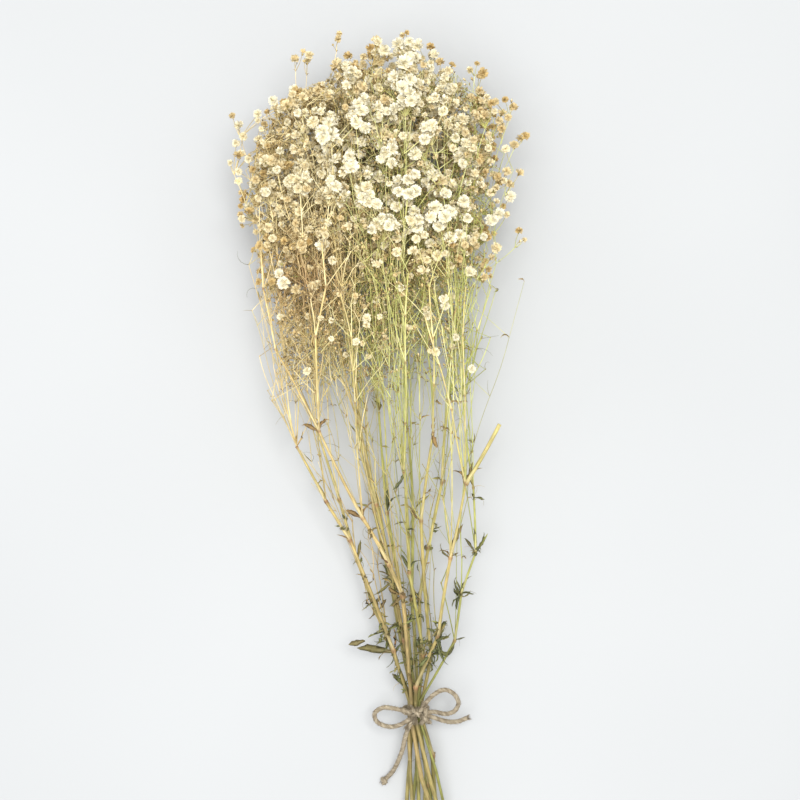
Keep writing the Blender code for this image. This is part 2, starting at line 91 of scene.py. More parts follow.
# The tie: where the twine gathers the stems, and what happens to them below it
TIE = Vector((30.0, -203.0, 21.0))
TIE_HALF_LENGTH = 7.0
WAIST = 0.84
TAIL_LENGTH = 108.5
TAIL_TURN = math.radians(-80)
TAIL_SPREAD = (3.0, 1.45)
TAIL_DRIFT = Vector((9.0, 0.0, -9.5))

# The bunch's form. Along y: the middle and half width in x, the middle and half height in z.
FORM = (
    (-203, 30, 7, 21, 7),
    (-115, 26, 36, 32, 21),
    (-39, 10, 57, 42, 34),
    (37, -4, 68, 52, 46),
    (112, -4, 84, 61, 57),
    (150, -4, 88, 64, 62),
    (187, -2, 95, 66, 64),
    (215, -1, 99, 66, 64),
    (243, 0, 92, 67, 59),
    (260, 7, 72, 67, 51),
    (276, 15, 52, 68, 41),
    (292, 15, 29, 69, 27),
    (302, 13, 9, 70, 9),
)
HEAD_LOW, HEAD_TOP = 150.0, 300.0
HEAD_RAGGED = 16.0
REST_HEIGHT = 3.6
UNDERSIDE_PRESS = 1.16

# Blossoms that stand out past the rest, in mm
STRAYS = (
    (-28, 304, 72), (-60, 290, 70), (-50, 284, 84), (75, 286, 72), (77, 279, 60), (102, 254, 70),
    (107, 232, 64), (111, 157, 60), (-103, 241, 66), (-109, 214, 62), (-69, 126, 86), (20, 307, 70),
    (84, 140, 92), (-92, 150, 48),
)
STRAY_BLOSSOMS = 2

# One spray for each cut stem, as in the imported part, and how green it still is, from 0 to 1
Spray = namedtuple("Spray", "name green seat radius tail share joints")
SPRAYS = (
    Spray("spray_left", 0.25, (-4.95, 1.43), 1.55, 0.36, (-0.78, 0.08),
          ((13, -156, 28), (-20, -70, 41), (-38, -40, 46), (-60, 2, 52))),
    Spray("spray_front_left", 0.05, (-3.3, 4.3), 1.8, 0.97, (-0.42, 0.6),
          ((20, -112, 40), (10, -88, 45), (-10, -52, 54), (-42, 14, 70))),
    Spray("spray_inner_left", 0.3, (-1.65, 1.43), 1.5, 0.4, (-0.36, -0.02),
          ((21, -149, 24), (0, -43, 40), (-14, 20, 50))),
    Spray("spray_back_left", 0.45, (-3.3, -1.43), 1.5, 0.9, (-0.6, -0.55),
          ((8, -149, 18), (-15, -88, 20), (-29, -40, 23), (-46, 14, 29))),
    Spray("spray_middle", 0.7, (0.0, -1.43), 1.5, 1.0, (-0.02, -0.04),
          ((24, -140, 20), (8, -50, 28), (2, 28, 38))),
    Spray("spray_front", 0.75, (1.65, 1.43), 1.55, 0.93, (0.06, 0.62),
          ((36, -160, 27), (25, -94, 42), (21, -17, 60))),
    Spray("spray_inner_right", 0.2, (4.95, 1.43), 1.6, 0.95, (0.36, 0.02),
          ((42, -160, 25), (34, -55, 42), (43, 13, 54))),
    Spray("spray_front_right", 0.15, (0.0, 4.3), 1.65, 1.0, (0.58, 0.5),
          ((30, -184, 31), (47, -143, 42), (56, -82, 54), (67, -26, 63))),
    Spray("spray_right", 0.5, (3.3, -1.43), 1.45, 0.96, (0.72, -0.1),
          ((33, -118, 20), (40, -77, 27), (50, -26, 38), (55, 40, 48))),
    Spray("spray_back_right", 0.9, (3.3, 4.3), 1.1, 0.88, (0.66, -0.62),
          ((60, -148, 31), (65, -112, 32), (76, -80, 35), (74, -30, 38), (66, 40, 34))),
    Spray("spray_back_middle", 0.65, (-1.65, -4.3), 1.5, 0.98, (-0.2, -0.64),
          ((12, -111, 12), (-2, -50, 13), (-14, 10, 15))),
    Spray("spray_back", 0.8, (1.65, -4.3), 1.5, 0.94, (0.22, -0.62),
          ((27, -119, 12), (28, -50, 12), (24, 15, 15))),
)
STUB_OF = "spray_front_right"
STUB_END = Vector((92, 19, 69))
STUB_RADIUS = 1.5

# Finer growth, in mm
FINEST_TWIG = 0.25
SLENDER = 0.98
TAPER = 0.36
STEM_SIDES = 9
TWIG_SIDES = 4
HAIR_SIDES = 3
BLOSSOM_RADIUS = (2.8, 4.3)
MORE_BLOSSOMS = (8, 12)
CROWDED = 4.5
SIDE_STEM_RADIUS = (0.33, 0.7)
SIDE_STEM_NODE = 40.0
SIDE_STEM_KINK = 3.6
EDGE_KINK = 1.6
CYMES = 1050
CYME_LOW, CYME_FULL, CYME_HIGH = 34.0, 90.0, 265.0
CYME_TWIG = (6.0, 11.0)
CYME_DEPTH = 3
REACH_LIMIT = 55.0
NODE_BELOW_TIE = {"spray_inner_right": 0.34, "spray_front": 0.55}
LEAF_SNAP = 9.0
SIDE_BLOSSOMS, SIDE_REACH = 64, 1.13
LOW_BLOSSOMS = 172.0
INNER = 0.62
SMALL_BLOSSOM = 2.4
DRIER_CHANCE, LARGER_CHANCE = 0.12, 0.12
# How much painted shade darkens the outermost blossoms on the upper side, where most light falls
OUTER_PAINTED_SHADE = 0.12
PRESSED = 0.1
GRAIN_ALONG = 0.05
BLADE_THICKNESS = 0.14

# Where the largest and whitest blossoms are: a band across the head, and a patch at its top
BRIGHT_BAND = (Vector((-33, 222)), Vector((78, 155)))
BRIGHT_TOP = Vector((28, 264))
BRIGHT_REACH = 26.0

# The brown-red patch in the left of the bunch
RUSSET_PLACE = Vector((-50, 118, 80))
RUSSET_REACH = 46.0
RUSSET_DEPTH = 1.5

# Leaves that can be told apart: root, tip, width, curl, and how green they still are
Leaf = namedtuple("Leaf", "root tip width curl green")
LEAVES = {
    "spray_left": (
        ((13, -157, 29), (-15, -149, 33), 7.0, 1.0, 0.7),
        ((-9, -147.5, 32.7), (-21, -153, 33), 6.5, -1.6, 0.6),
        ((20, -187, 28), (10, -174, 31), 4.6, 0.9, 0.8),
        ((13, -155, 29), (10, -170, 30), 3.0, 1.4, 1.0),
    ),
    "spray_inner_left": (
        ((21, -149, 26), (16, -136, 33), 3.6, 1.9, 1.1),
        ((20, -148, 27), (27, -136, 33), 3.0, -1.6, 1.0),
        ((21, -150, 27), (14, -163, 31), 3.2, 1.8, 1.2),
    ),
    "spray_front": (
        ((36, -160, 29), (31, -146, 34), 4.4, 1.0, 1.0),
        ((36, -160, 29), (40, -172, 33), 3.0, -1.5, 1.1),
        ((21, -17, 61), (20, 3, 64), 3.6, 0.6, 1.1), ((25, -94, 43), (17, -80, 47), 3.0, 1.3, 1.0),
        ((25, -94, 43), (33, -84, 47), 2.8, 1.6, 1.0),
        ((21, -17, 61), (12, -30, 63), 3.4, 1.2, 1.2),
    ),
    "spray_front_right": (
        ((47, -143, 44), (57, -133, 45), 4.4, 2.2, 1.0),
        ((48, -143, 43), (57, -142, 46), 3.4, -2.0, 0.9),
        ((47, -144, 42), (37, -137, 43), 3.0, 1.6, 1.1),
        ((49, -144, 42), (47, -160, 40), 3.6, 1.4, 1.1),
        ((50, -145, 41), (51, -166, 39), 3.4, -1.4, 1.0),
        ((48, -150, 41), (45, -168, 38), 2.8, 1.8, 0.9),
        ((56, -82, 54), (66, -56, 56), 4.2, 0.5, 0.35),
        ((56, -82, 54), (47, -72, 57), 2.6, 1.7, 0.8),
        ((67, -26, 63), (77, -12, 66), 3.0, 1.4, 0.3),
        ((67, -26, 63), (61, -14, 67), 3.4, 1.8, 0.1), ((67, -26, 64), (71, -8, 67), 2.8, 0.8, 0.5),
    ),
    "spray_back_right": (
        ((60, -148, 31), (52, -158, 38), 3.0, 1.6, 0.9),
        ((76, -80, 36), (83, -64, 40), 2.8, 1.1, 0.9),
        ((76, -80, 36), (69, -66, 41), 2.8, 1.4, 0.8),
        ((76, -79, 36), (77, -60, 38), 3.2, 0.9, 0.9),
        ((65, -112, 33), (58, -100, 38), 3.4, 1.6, 0.9),
        ((65, -112, 33), (62, -124, 37), 3.0, 1.9, 1.1),
        ((65, -111, 33), (70, -97, 36), 2.4, 1.2, 0.8),
    ),
    "spray_front_left": (
        ((-10, -52, 56), (-22, -44, 60), 4.6, 1.0, 0.0),
        ((-10, -52, 56), (-3, -38, 60), 3.0, 1.5, 0.1),
        ((-42, 14, 71), (-53, 22, 75), 3.8, 2.0, 0.0),
        ((-42, 14, 71), (-34, 23, 75), 3.6, 2.2, 0.0), ((10, -88, 46), (2, -74, 50), 3.6, 1.0, 0.7),
        ((20, -112, 41), (9, -104, 45), 4.2, 1.3, 0.3),
        ((20, -112, 41), (13, -122, 44), 3.4, 1.8, 0.4),
    ),
    "spray_inner_right": (
        ((34, -55, 44), (27, -44, 48), 2.8, 1.6, 0.2), ((43, 13, 55), (47, 1, 60), 4.4, 0.9, 0.0),
        ((42, -160, 27), (46, -147, 32), 3.0, 1.2, 1.0),
    ),
    "spray_middle": (
        ((8, -50, 30), (7, -28, 52), 3.4, 0.5, 1.1), ((8, -50, 30), (17, -34, 52), 3.0, 0.9, 1.2),
    ),
}

# Crumpled remnants of leaves on the main stems: the y they sit at, how many, how long and how green
Remnant = namedtuple("Remnant", "y count length green")
REMNANTS = {
    "spray_left": (
        (-186, 7, 9.0, 0.9), (-170, 5, 7.0, 0.8), (-140, 7, 9.0, 0.8), (-118, 7, 9.0, 0.5),
        (-98, 5, 8.0, 0.5), (-60, 4, 8.0, 0.7),
    ),
    "spray_back_left": (
        (-150, 8, 10.0, 0.9), (-120, 7, 9.0, 0.6), (-90, 5, 10.0, 0.8), (-60, 4, 9.0, 0.8),
    ),
    "spray_inner_left": (
        (-165, 7, 9.0, 1.0), (-138, 8, 10.0, 0.9), (-105, 8, 11.0, 0.7), (-75, 5, 9.0, 0.6),
    ),
    "spray_front_left": (
        (-120, 5, 8.0, 0.4), (-60, 3, 8.0, 0.3),
    ),
    "spray_middle": (
        (-168, 5, 8.0, 1.0), (-110, 5, 9.0, 0.9),
    ),
    "spray_front": (
        (-172, 5, 8.0, 1.0), (-150, 7, 9.0, 0.8), (-128, 5, 9.0, 1.0), (-60, 4, 9.0, 0.9),
        (-262, 4, 6.0, 0.5),
    ),
    "spray_inner_right": (
        (-150, 5, 7.0, 1.0), (-30, 3, 8.0, 0.2), (-239, 2, 5.0, 0.2),
    ),
    "spray_front_right": (
        (-158, 8, 10.0, 1.0), (-150, 8, 11.0, 1.1), (-141, 8, 9.0, 0.9), (-82, 3, 9.0, 0.4),
    ),
    "spray_back_right": (
        (-114, 8, 9.0, 0.9), (-80, 8, 9.0, 0.9), (-40, 3, 8.0, 0.8),
    ),
    "spray_right": (
        (-120, 5, 8.0, 1.0), (-60, 4, 9.0, 0.9), (-238, 3, 6.0, 0.9),
    ),
    "spray_back_middle": (
        (-100, 5, 9.0, 0.9),
    ),
}

# Blossoms that stand alone below the rest: place, radius and how white they are
LONE_BLOSSOMS = (
    ((-38, 149, 97), 5.2, 1.1), ((-31, 138, 95), 3.5, 0.8), ((-70, 129, 88), 4.2, 1.1),
    ((-67, 122, 90), 5.0, 1.1), ((-62, 141, 86), 4.2, 0.3), ((-49, 131, 92), 3.8, 0.25),
    ((-58, 117, 90), 4.2, 0.3), ((-45, 119, 94), 4.2, 0.35), ((-38, 133, 92), 3.6, 0.3),
    ((-54, 150, 94), 3.8, 0.4), ((10, 165, 112), 4.8, 1.0), ((30, 160, 114), 5.0, 1.0),
    ((54, 154, 100), 4.6, 1.1), ((61, 156, 98), 4.8, 1.0), ((67, 153, 92), 4.4, 0.9),
    ((45, 141, 100), 4.2, 0.45), ((35, 129, 104), 4.4, 0.5), ((50, 110, 96), 4.0, 0.8),
    ((51, 105, 94), 3.4, 0.9), ((69, 131, 84), 4.6, 0.8), ((59, 83, 84), 3.0, 0.9),
    ((71, 60, 74), 3.4, 0.9), ((19, 117, 108), 2.8, 1.0), ((-50, 58, 84), 3.4, 0.7),
    ((-14, 79, 98), 3.0, 0.8), ((85, 169, 84), 5.0, 1.0), ((28, 143, 108), 4.0, 0.5),
    ((2, 134, 108), 3.8, 0.5), ((-6, 96, 98), 3.4, 0.6), ((24, 88, 96), 3.4, 0.5),
    ((44, 72, 90), 3.2, 0.6), ((38, 98, 98), 3.6, 0.7), ((93, 259, 66), 3.2, 0.2),
    ((94, 251, 60), 3.4, 0.25), ((98, 246, 72), 3.3, 0.2), ((91, 243, 76), 3.5, 0.3),
    ((103, 227, 66), 3.4, 0.2), ((96, 222, 78), 3.3, 0.5), ((107, 206, 62), 3.4, 0.2),
    ((97, 206, 74), 3.5, 0.3), ((101, 198, 60), 3.2, 0.2), ((100, 188, 66), 4.4, 1.0),
    ((91, 175, 70), 4.8, 1.1), ((98, 176, 58), 3.0, 0.4), ((-102, 243, 62), 3.4, 0.6),
    ((-104, 228, 66), 3.3, 0.7), ((-98, 232, 72), 3.2, 0.5), ((-101, 222, 58), 3.4, 0.8),
    ((-102, 207, 66), 3.4, 0.7), ((-103, 201, 58), 3.2, 0.6), ((-95, 181, 64), 3.5, 0.8),
    ((-94, 174, 60), 3.6, 0.9), ((-94, 215, 74), 3.3, 0.6), ((-79, 259, 70), 3.6, 0.9),
    ((-69, 250, 84), 3.4, 0.7), ((-66, 267, 72), 3.6, 0.8), ((-88, 250, 66), 3.4, 0.8),
    ((-91, 196, 72), 3.4, 0.7),
)

# Colours of the dried plant, linear
PALE_STRAW = (0.81, 0.71, 0.41)
STRAW = (0.69, 0.52, 0.22)
GOLDEN = (0.49, 0.34, 0.12)
GREEN = (0.40, 0.42, 0.10)
PALE_GREEN = (0.64, 0.65, 0.29)
OLIVE = (0.11, 0.12, 0.045)
NODE = (0.30, 0.15, 0.07)
BROWN = (0.13, 0.06, 0.03)
RUSSET = (0.40, 0.26, 0.12)
CALYX = (0.52, 0.39, 0.16)
WHITE = (0.96, 0.92, 0.78)
CREAM = (0.92, 0.83, 0.56)
PEACH = (0.88, 0.70, 0.38)
TAN = (0.69, 0.51, 0.22)
JUTE = (0.17, 0.125, 0.075)
JUTE_PALE = (0.42, 0.355, 0.255)

# The bow, in mm: two loops and two tails from the knot on top of the tie
TWINE_RADIUS = 1.8
PLIES = 3
PLY_RADIUS = 1.05
PLY_OFFSET = 0.85
PLY_PITCH = 7.0
PLY_SHADE = (0.9, 0.45, 0.65)
TWINE_STEP = 1.1
FIBRE_LENGTH = (1.0, 2.4)
WRAP_RADIUS = 9.1
WRAP_OFFSET = 1.8
WRAP_TURNS = 2
LEFT_LOOP = ((27, -203, 32), (18, -201, 31), (6, -200, 28), (-1, -204, 26), (-1, -210, 25),
             (4, -214, 25), (12, -215, 27), (20, -212, 30), (28, -206, 32))
RIGHT_LOOP = ((35, -199, 32), (43, -190, 32), (52, -186, 30), (60, -190, 28), (63, -197, 27),
              (60, -203, 27), (53, -205, 28), (45, -203, 30), (36, -203, 32))
RIGHT_TAIL = ((36, -205, 32), (43, -207, 30), (50, -210, 27), (57, -212, 24), (64, -212, 21),
              (70, -210, 19))
LEFT_TAIL = ((30, -207, 32), (25, -214, 31), (22, -223, 28), (20, -233, 24), (17, -243, 17),
             (13, -253, 9), (9, -259, 4), (5, -263, 2.6))
BOW = (("bow_loop_left", LEFT_LOOP, "object"), ("bow_loop_right", RIGHT_LOOP, "object"),
       ("bow_tail_right", RIGHT_TAIL, "bare"), ("bow_tail_left", LEFT_TAIL, "knot"))
KNOT_BANDS = (
    ((26, -199, 30), (29, -201.5, 34), (34, -205, 35.2), (39, -209, 33.5), (41, -211, 30)),
    ((36, -196, 29), (37.5, -199, 33), (37.5, -204, 34.6), (36, -209, 33), (34, -212, 29)),
    ((27, -207, 29.5), (29, -205.5, 33), (33, -201.5, 34), (36, -199, 32.5), (38, -198, 30)),
)

# The camera looks straight down on the bunch, as the photograph does
CAMERA_PLACE = Vector((18.0, 37.0, 1150.0))
CAMERA_ANGLE = math.radians(30.73)

# The lights, in metres: place, size, watts and colour
LIGHTS = (
    ("window", (0.25, 0.3, 1.95), 0.8, 27.0, (1.0, 1.0, 0.965)),
    ("fill", (-0.4, -0.15, 1.8), 1.2, 17.0, (0.98, 0.99, 1.0)),
)
LIT_PLACE = Vector((0.0, 0.05, 0.05))
ROOM_COLOUR = (1.0, 1.0, 0.98, 1.0)
ROOM_LIGHT = 0.72
FLOOR_SIZE = 8.0
FLOOR_COLOUR = (0.505, 0.515, 0.53, 1.0)

# Surfaces: roughness, streaks and mottling as scale, darkest and palest, relief as strength and depth
SURFACES = (
    ("jute", 0.95, (5.0, 0.6, 1.3), (260.0, 0.85, 1.15), (0.6, 0.0004)),
    ("dried_stem", 0.62, (3.0, 0.52, 1.3), (90.0, 0.82, 1.16), (0.45, 0.0002)),
    ("dried_petal", 0.8, (3.2, 0.93, 1.05), (150.0, 0.95, 1.05), (0.2, 0.0002)),
)


# The plan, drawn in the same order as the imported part's so that every joint falls in the same place

Cluster = namedtuple("Cluster", "place blossoms")


def any_way(rng):
    """A step in a random direction."""
    return Vector((rng.gauss(0, 1), rng.gauss(0, 1), rng.gauss(0, 1)))


def unit(value):
    """The value, kept between 0 and 1."""
    return min(max(value, 0.0), 1.0)


def form_at(y):
    """The middle x, half width, middle z and half height of the bunch at y."""
    if y <= FORM[0][0]:
        return FORM[0][1:]
    for low, high in zip(FORM, FORM[1:]):
        if y <= high[0]:
            part = (y - low[0]) / (high[0] - low[0])
            return tuple(a + part * (b - a) for a, b in zip(low[1:], high[1:]))
    return FORM[-1][1:]


def place_in_form(y, across, depth):
    """A place in the bunch, whose underside is pressed flat by its weight."""
    middle_x, half_width, middle_z, half_height = form_at(y)
    if depth < 0:
        half_height *= UNDERSIDE_PRESS
    z = max(middle_z + depth * half_height, REST_HEIGHT)
    return Vector((middle_x + across * half_width, y, z))


def shares_of(place):
    """How far across and how deep in the form a place is, from -1 to 1."""
    middle_x, half_width, middle_z, half_height = form_at(place.y)
    return (place.x - middle_x) / half_width, (place.z - middle_z) / half_height


def drawn_in(place, reach):
    """The place itself, or where it meets the form at this share of its width and height."""
    place = Vector((place.x, min(place.y, FORM[-1][0] * reach), place.z))
    across, depth = shares_of(place)
    out = math.hypot(across, depth)
    if out <= reach:
        return place
    middle_x, half_width, middle_z, half_height = form_at(place.y)
    place.x = middle_x + across / out * reach * half_width
    place.z = max(middle_z + depth / out * reach * half_height, REST_HEIGHT)
    return place


def spray_at(place):
    """The spray whose share of the head holds this place."""
    return min(
        range(len(SPRAYS)),
        key=lambda i: (place_in_form(place.y, *SPRAYS[i].share) - place).length,
    )


def ragged_edge(angle):
    """How much lower the head hangs on this side of the bunch."""
    return HEAD_RAGGED * (math.sin(2 * angle + 0.6) + 0.6 * math.sin(5 * angle + 2.0))


def scatter_clusters(rng):
    """The clusters, spread evenly through the head and closer to its outside."""
    clusters = [Cluster(Vector(place), STRAY_BLOSSOMS) for place in STRAYS]
    for _ in range(CLUSTER_TRIES):
        angle = rng.uniform(-math.pi, math.pi)
        out = rng.random() ** OUTER_CROWDING
        y = rng.uniform(HEAD_LOW - HEAD_RAGGED * 2, HEAD_TOP)
        if y < HEAD_LOW - ragged_edge(angle):
            continue
        place = place_in_form(y, out * math.cos(angle), out * math.sin(angle))
        if all((place - other.place).length > CLUSTER_SPACING for other in clusters):
            clusters.append(Cluster(place, rng.randint(*CLUSTER_BLOSSOMS)))
    return clusters


def scatter_blossoms(cluster, rng):
    """The blossoms of one cluster, around its middle."""
    blossoms = [cluster.place.copy()]
    for _ in range(BLOSSOM_TRIES):
        if len(blossoms) == cluster.blossoms:
            break
        step = any_way(rng)
        place = cluster.place + step.normalized() * rng.uniform(0.6, 1.0) * CLUSTER_REACH
        place.z = max(place.z, REST_HEIGHT)
        if all((place - other).length > BLOSSOM_SPACING for other in blossoms):
            blossoms.append(place)
    return blossoms


def middle_of(clusters):
    return sum((cluster.place for cluster in clusters), Vector()) / len(clusters)


class Joint:
    """A joint of a spray. Its shoots grow from it, and at a twig's end it is a blossom."""

    def __init__(self, place, blossom=False):
        self.place = place
        self.blossom = blossom
        self.radius = FINEST_TWIG
        self.shoots = []

    def blossoms(self):
        return int(self.blossom) + sum(shoot.blossoms() for shoot in self.shoots)


def halves(clusters, rng):
    """Two groups of neighbouring clusters, one for each shoot of a fork."""
    middle = middle_of(clusters)
    spread = [sum(abs(c.place[axis] - middle[axis]) for c in clusters) for axis in range(3)]
    spread[1] *= ALONG_WEIGHT
    axis = spread.index(max(spread))
    ordered = sorted(clusters, key=lambda c: c.place[axis])
    cut = round(len(ordered) * rng.uniform(*FORK_SHARE))
    cut = min(max(cut, 1), len(ordered) - 1)
    return ordered[:cut], ordered[cut:]


def flower(joint, cluster, rng):
    """Ends a twig in one cluster of blossoms."""
    way = cluster.place - joint.place
    base = Joint(cluster.place - way.normalized() * min(CLUSTER_STALK, STALK_SHARE * way.length))
    base.shoots = [Joint(place, blossom=True) for place in scatter_blossoms(cluster, rng)]
    joint.shoots.append(base)


def grow(joint, clusters, rng):
    """Forks a stem again and again until each twig carries one cluster."""
    if len(clusters) == 1:
        flower(joint, clusters[0], rng)
        return
    for group in halves(clusters, rng):
        step = (middle_of(group) - joint.place) * rng.uniform(*FORK_REACH)
        lowest = min(c.place.y for c in group)
        room = max(lowest - BELOW_BLOSSOMS - joint.place.y, SHORTEST_INTERNODE)
        if step.y > room:
            step *= room / step.y
        step *= min(1.0, LONGEST_INTERNODE / step.length)
        child = Joint(joint.place + step)
        child.place.z = max(child.place.z, LOWEST_JOINT)
        joint.shoots.append(child)
        grow(child, group, rng)


def spray_tree(spray, clusters, rng):
    """The main stem's joints, with all that grows from the last two of them."""
    joints = [Joint(Vector(place)) for place in spray.joints]
    for low, high in zip(joints, joints[1:]):
        low.shoots.append(high)
    side, ahead = halves(clusters, rng)
    if (middle_of(side) - joints[-1].place).length < (middle_of(ahead) - joints[-1].place).length:
        side, ahead = ahead, side
    if len(side) > len(ahead):
        side, more = halves(side, rng)
        ahead = ahead + more
    fork = joints[-2]
    first = Joint(fork.place + (middle_of(side) - fork.place) * SIDE_STEM_REACH)
    fork.shoots.append(first)
    grow(first, side, rng)
    grow(joints[-1], ahead, rng)
    thicken(joints[0], spray.radius, joints[0].blossoms())
    return joints


def thicken(joint, radius, carried):
    """Twigs are thinner the fewer blossoms they carry."""
    share = joint.blossoms() / carried
    joint.radius = max(FINEST_TWIG, radius * share**THINNING)
    for shoot in joint.shoots:
        thicken(shoot, radius, carried)


def below_tie(spray, part):
    """Where a stem passes at this part of the way from the tie to the longest cut end."""
    turn = Matrix.Rotation(TAIL_TURN * part, 2)
    across, up = turn @ Vector(spray.seat)
    across *= 1 + TAIL_SPREAD[0] * part
    up *= 1 + TAIL_SPREAD[1] * part
    return TIE + TAIL_DRIFT * part + Vector((across, -TAIL_LENGTH * part, up))


# Meshes: what grows is gathered as arrays of points, faces and colours, and made at the end


class Room:
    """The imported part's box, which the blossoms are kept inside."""

    low = Vector((-1e6, -1e6, 0))
    high = Vector((1e6, 1e6, 1e6))

    @classmethod
    def fit(cls, corners):
        low, high = corners
        cls.low = Vector(low) / MM
        cls.high = Vector(high) / MM

    @classmethod
    def kept(cls, place, margin):
        """The nearest place that is at least this far inside the box."""
        return Vector(
            min(max(value, low + margin), high - margin)
            for value, low, high in zip(place, cls.low, cls.high)
        )



class Growth:
    """The points, faces and colours of one piece as it grows."""

    def __init__(self):
        self.points = []
        self.tints = []
        self.grains = []
        self.faces = []
        self.count = 0

    def add(self, points, faces, tints, grains):
        """Adds points in mm, faces that index them, and a colour and a grain place for each."""
        points = np.array(points, float)
        points[:, 2] = np.maximum(points[:, 2], PRESSED)
        self.points.append(points)
        self.tints.append(np.broadcast_to(np.asarray(tints, float), points.shape))
        self.grains.append(np.asarray(grains, float))
        for block in faces:
            self.faces += (np.asarray(block) + self.count).tolist()
        self.count += len(points)

    def piece(self, name, material, slot):
        """Makes the object, which rides on the bunch."""
        mesh = bpy.data.meshes.new(name)
        mesh.from_pydata((np.concatenate(self.points) * MM).tolist(), [], self.faces)
        tints = np.concatenate(self.tints)
        tint = mesh.color_attributes.new("tint", "FLOAT_COLOR", "POINT")
        tint.data.foreach_set("color", np.column_stack([tints, np.ones(len(tints))]).ravel())
        grain = mesh.attributes.new("grain", "FLOAT_VECTOR", "POINT")
        grain.data.foreach_set("vector", np.concatenate(self.grains).ravel())
        mesh.materials.append(material)
        mesh.shade_smooth()
        thing = bpy.data.objects.new(name, mesh)
        bpy.context.scene.collection.objects.link(thing)
        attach(thing, "root")
        return thing


def mixed(first, second, part):
    part = unit(part)
    return np.asarray(first) * (1 - part) + np.asarray(second) * part


def frames_along(path):
    """Headings and a steady pair of cross directions along a path."""
    headings = np.gradient(path, axis=0)
    headings /= np.linalg.norm(headings, axis=1, keepdims=True)
    side = np.array(Vector(headings[0]).orthogonal().normalized())
    sides = []
    for heading in headings:
        side = side - heading * side.dot(heading)
        side = side / np.linalg.norm(side)
        sides.append(side)
    sides = np.array(sides)
    return headings, sides, np.cross(headings, sides)


def lengths_along(path):
    return np.concatenate([[0.0], np.cumsum(np.linalg.norm(np.diff(path, axis=0), axis=1))])


def tube(growth, path, radii, tints, sides, start=0.0, closed=False):
    """A tube of changing thickness and colour, closed with flat ends where that shows."""
    path = np.asarray(path, float)
    radii = np.asarray(radii, float)
    _, side, up = frames_along(path)
    angles = np.arange(sides) * (math.tau / sides)
    around = np.stack([np.cos(angles), np.sin(angles)], axis=1)
    outward = around[None, :, :1] * side[:, None, :] + around[None, :, 1:] * up[:, None, :]
    points = (path[:, None, :] + outward * radii[:, None, None]).reshape(-1, 3)
    along = start + lengths_along(path)
    grains = np.concatenate([
        np.tile(around, (len(path), 1)),
        np.repeat(along, sides)[:, None] * GRAIN_ALONG,
    ], axis=1)
    colours = np.asarray(tints, float)
    if colours.ndim == 2:
        colours = np.repeat(colours, sides, axis=0)
    else:
        colours = np.tile(colours, (len(points), 1))
    here = np.arange((len(path) - 1) * sides).reshape(-1, sides)
    there = np.roll(here, -1, axis=1)
    quads = np.stack([here, there, there + sides, here + sides], axis=-1).reshape(-1, 4)
    faces = [quads]
    if closed:
        last = len(points) - sides
        faces.append([list(range(sides))[::-1], list(range(last, last + sides))])
    growth.add(points, faces, colours, grains)



def bowed(start, end, bow, steps, rng):
    """A gently bent path between two places."""
    way = end - start
    side = way.cross(any_way(rng))
    side = side.normalized() * way.length * rng.uniform(0.3, 1.0) * bow
    return [start.lerp(end, i / steps) + side * 4 * (i / steps) * (1 - i / steps)
            for i in range(steps + 1)]


def twig(growth, start, end, radii, tints, bow, rng, sides=TWIG_SIDES, steps=3):
    """A bent twig between two places, and its heading at the end."""
    path = bowed(start, end, bow, steps, rng)
    parts = np.linspace(0, 1, steps + 1)
    thick = radii[0] + (radii[1] - radii[0]) * parts
    colours = np.outer(1 - parts, tints[0]) + np.outer(parts, tints[1])
    tube(growth, path, thick, colours, sides, start=rng.uniform(0, 900))
    return (path[-1] - path[-2]).normalized()


def blade(growth, root, heading, side, shape, tints, rng):
    """A narrow dried leaf, folded along its rib, curled along its length and twisted."""
    length, width, curl, twist, steps = shape
    fold = rng.uniform(0.3, 0.9)
    heading = heading.normalized()
    side = (side - heading * side.dot(heading)).normalized()
    middle = root.copy()
    points = []
    colours = []
    grains = []
    for i in range(steps + 1):
        part = i / steps
        broad = width / 2 * (0.25 + 0.75 * math.sin(math.pi * min(part * 1.25, 1.0) / 2)) * (1 - part**3)
        broad = max(broad, 0.06)
        broad *= rng.uniform(0.75, 1.2)
        up = heading.cross(side)
        edge = up * broad * fold
        left, right = rng.gauss(0, 0.45) * broad, rng.gauss(0, 0.45) * broad
        points += [middle - side * broad + edge + up * left, middle + up * BLADE_THICKNESS,
                   middle + side * broad + edge + up * right, middle - up * BLADE_THICKNESS]
        colours += [mixed(tints[0], tints[1], part)] * 4
        grains += [(across, fold, part * length * GRAIN_ALONG) for across in (-1.5, 0, 1.5, 0.2)]
        heading = Matrix.Rotation(curl / steps, 3, side) @ heading
        side = Matrix.Rotation(twist / steps, 3, heading) @ side
        middle = middle + heading * length / steps
    here = np.arange(steps * 4).reshape(-1, 4)
    there = np.roll(here, -1, axis=1)
    quads = np.stack([here, here + 4, there + 4, there], axis=-1).reshape(-1, 4)
    growth.add([tuple(p) for p in points], [quads], colours, grains)



def sideways(heading, rng):
    """A random direction across a heading."""
    step = any_way(rng)
    return heading.cross(step).normalized()


def knuckle(growth, place, heading, radius, tint):
    """The swelling of a joint."""
    path = [place + heading * radius * step for step in (-2.0, 0.1, 2.0)]
    dark = mixed(tint, NODE, 0.7)
    tube(growth, path, [radius * 0.9, radius * 1.5, radius * 0.9], [tint, dark, tint], TWIG_SIDES)


def bract(growth, root, way, side, length, tint):
    """A tiny dry bract: a folded sliver with four faces."""
    half = side * length * 0.24
    middle = root + way * length * 0.45 + way.cross(side) * length * 0.12
    points = [tuple(p) for p in (root, middle - half, middle + half, root + way * length)]
    growth.add(points, [[(0, 1, 2), (1, 3, 2), (0, 2, 3), (0, 3, 1)]], tint, points)


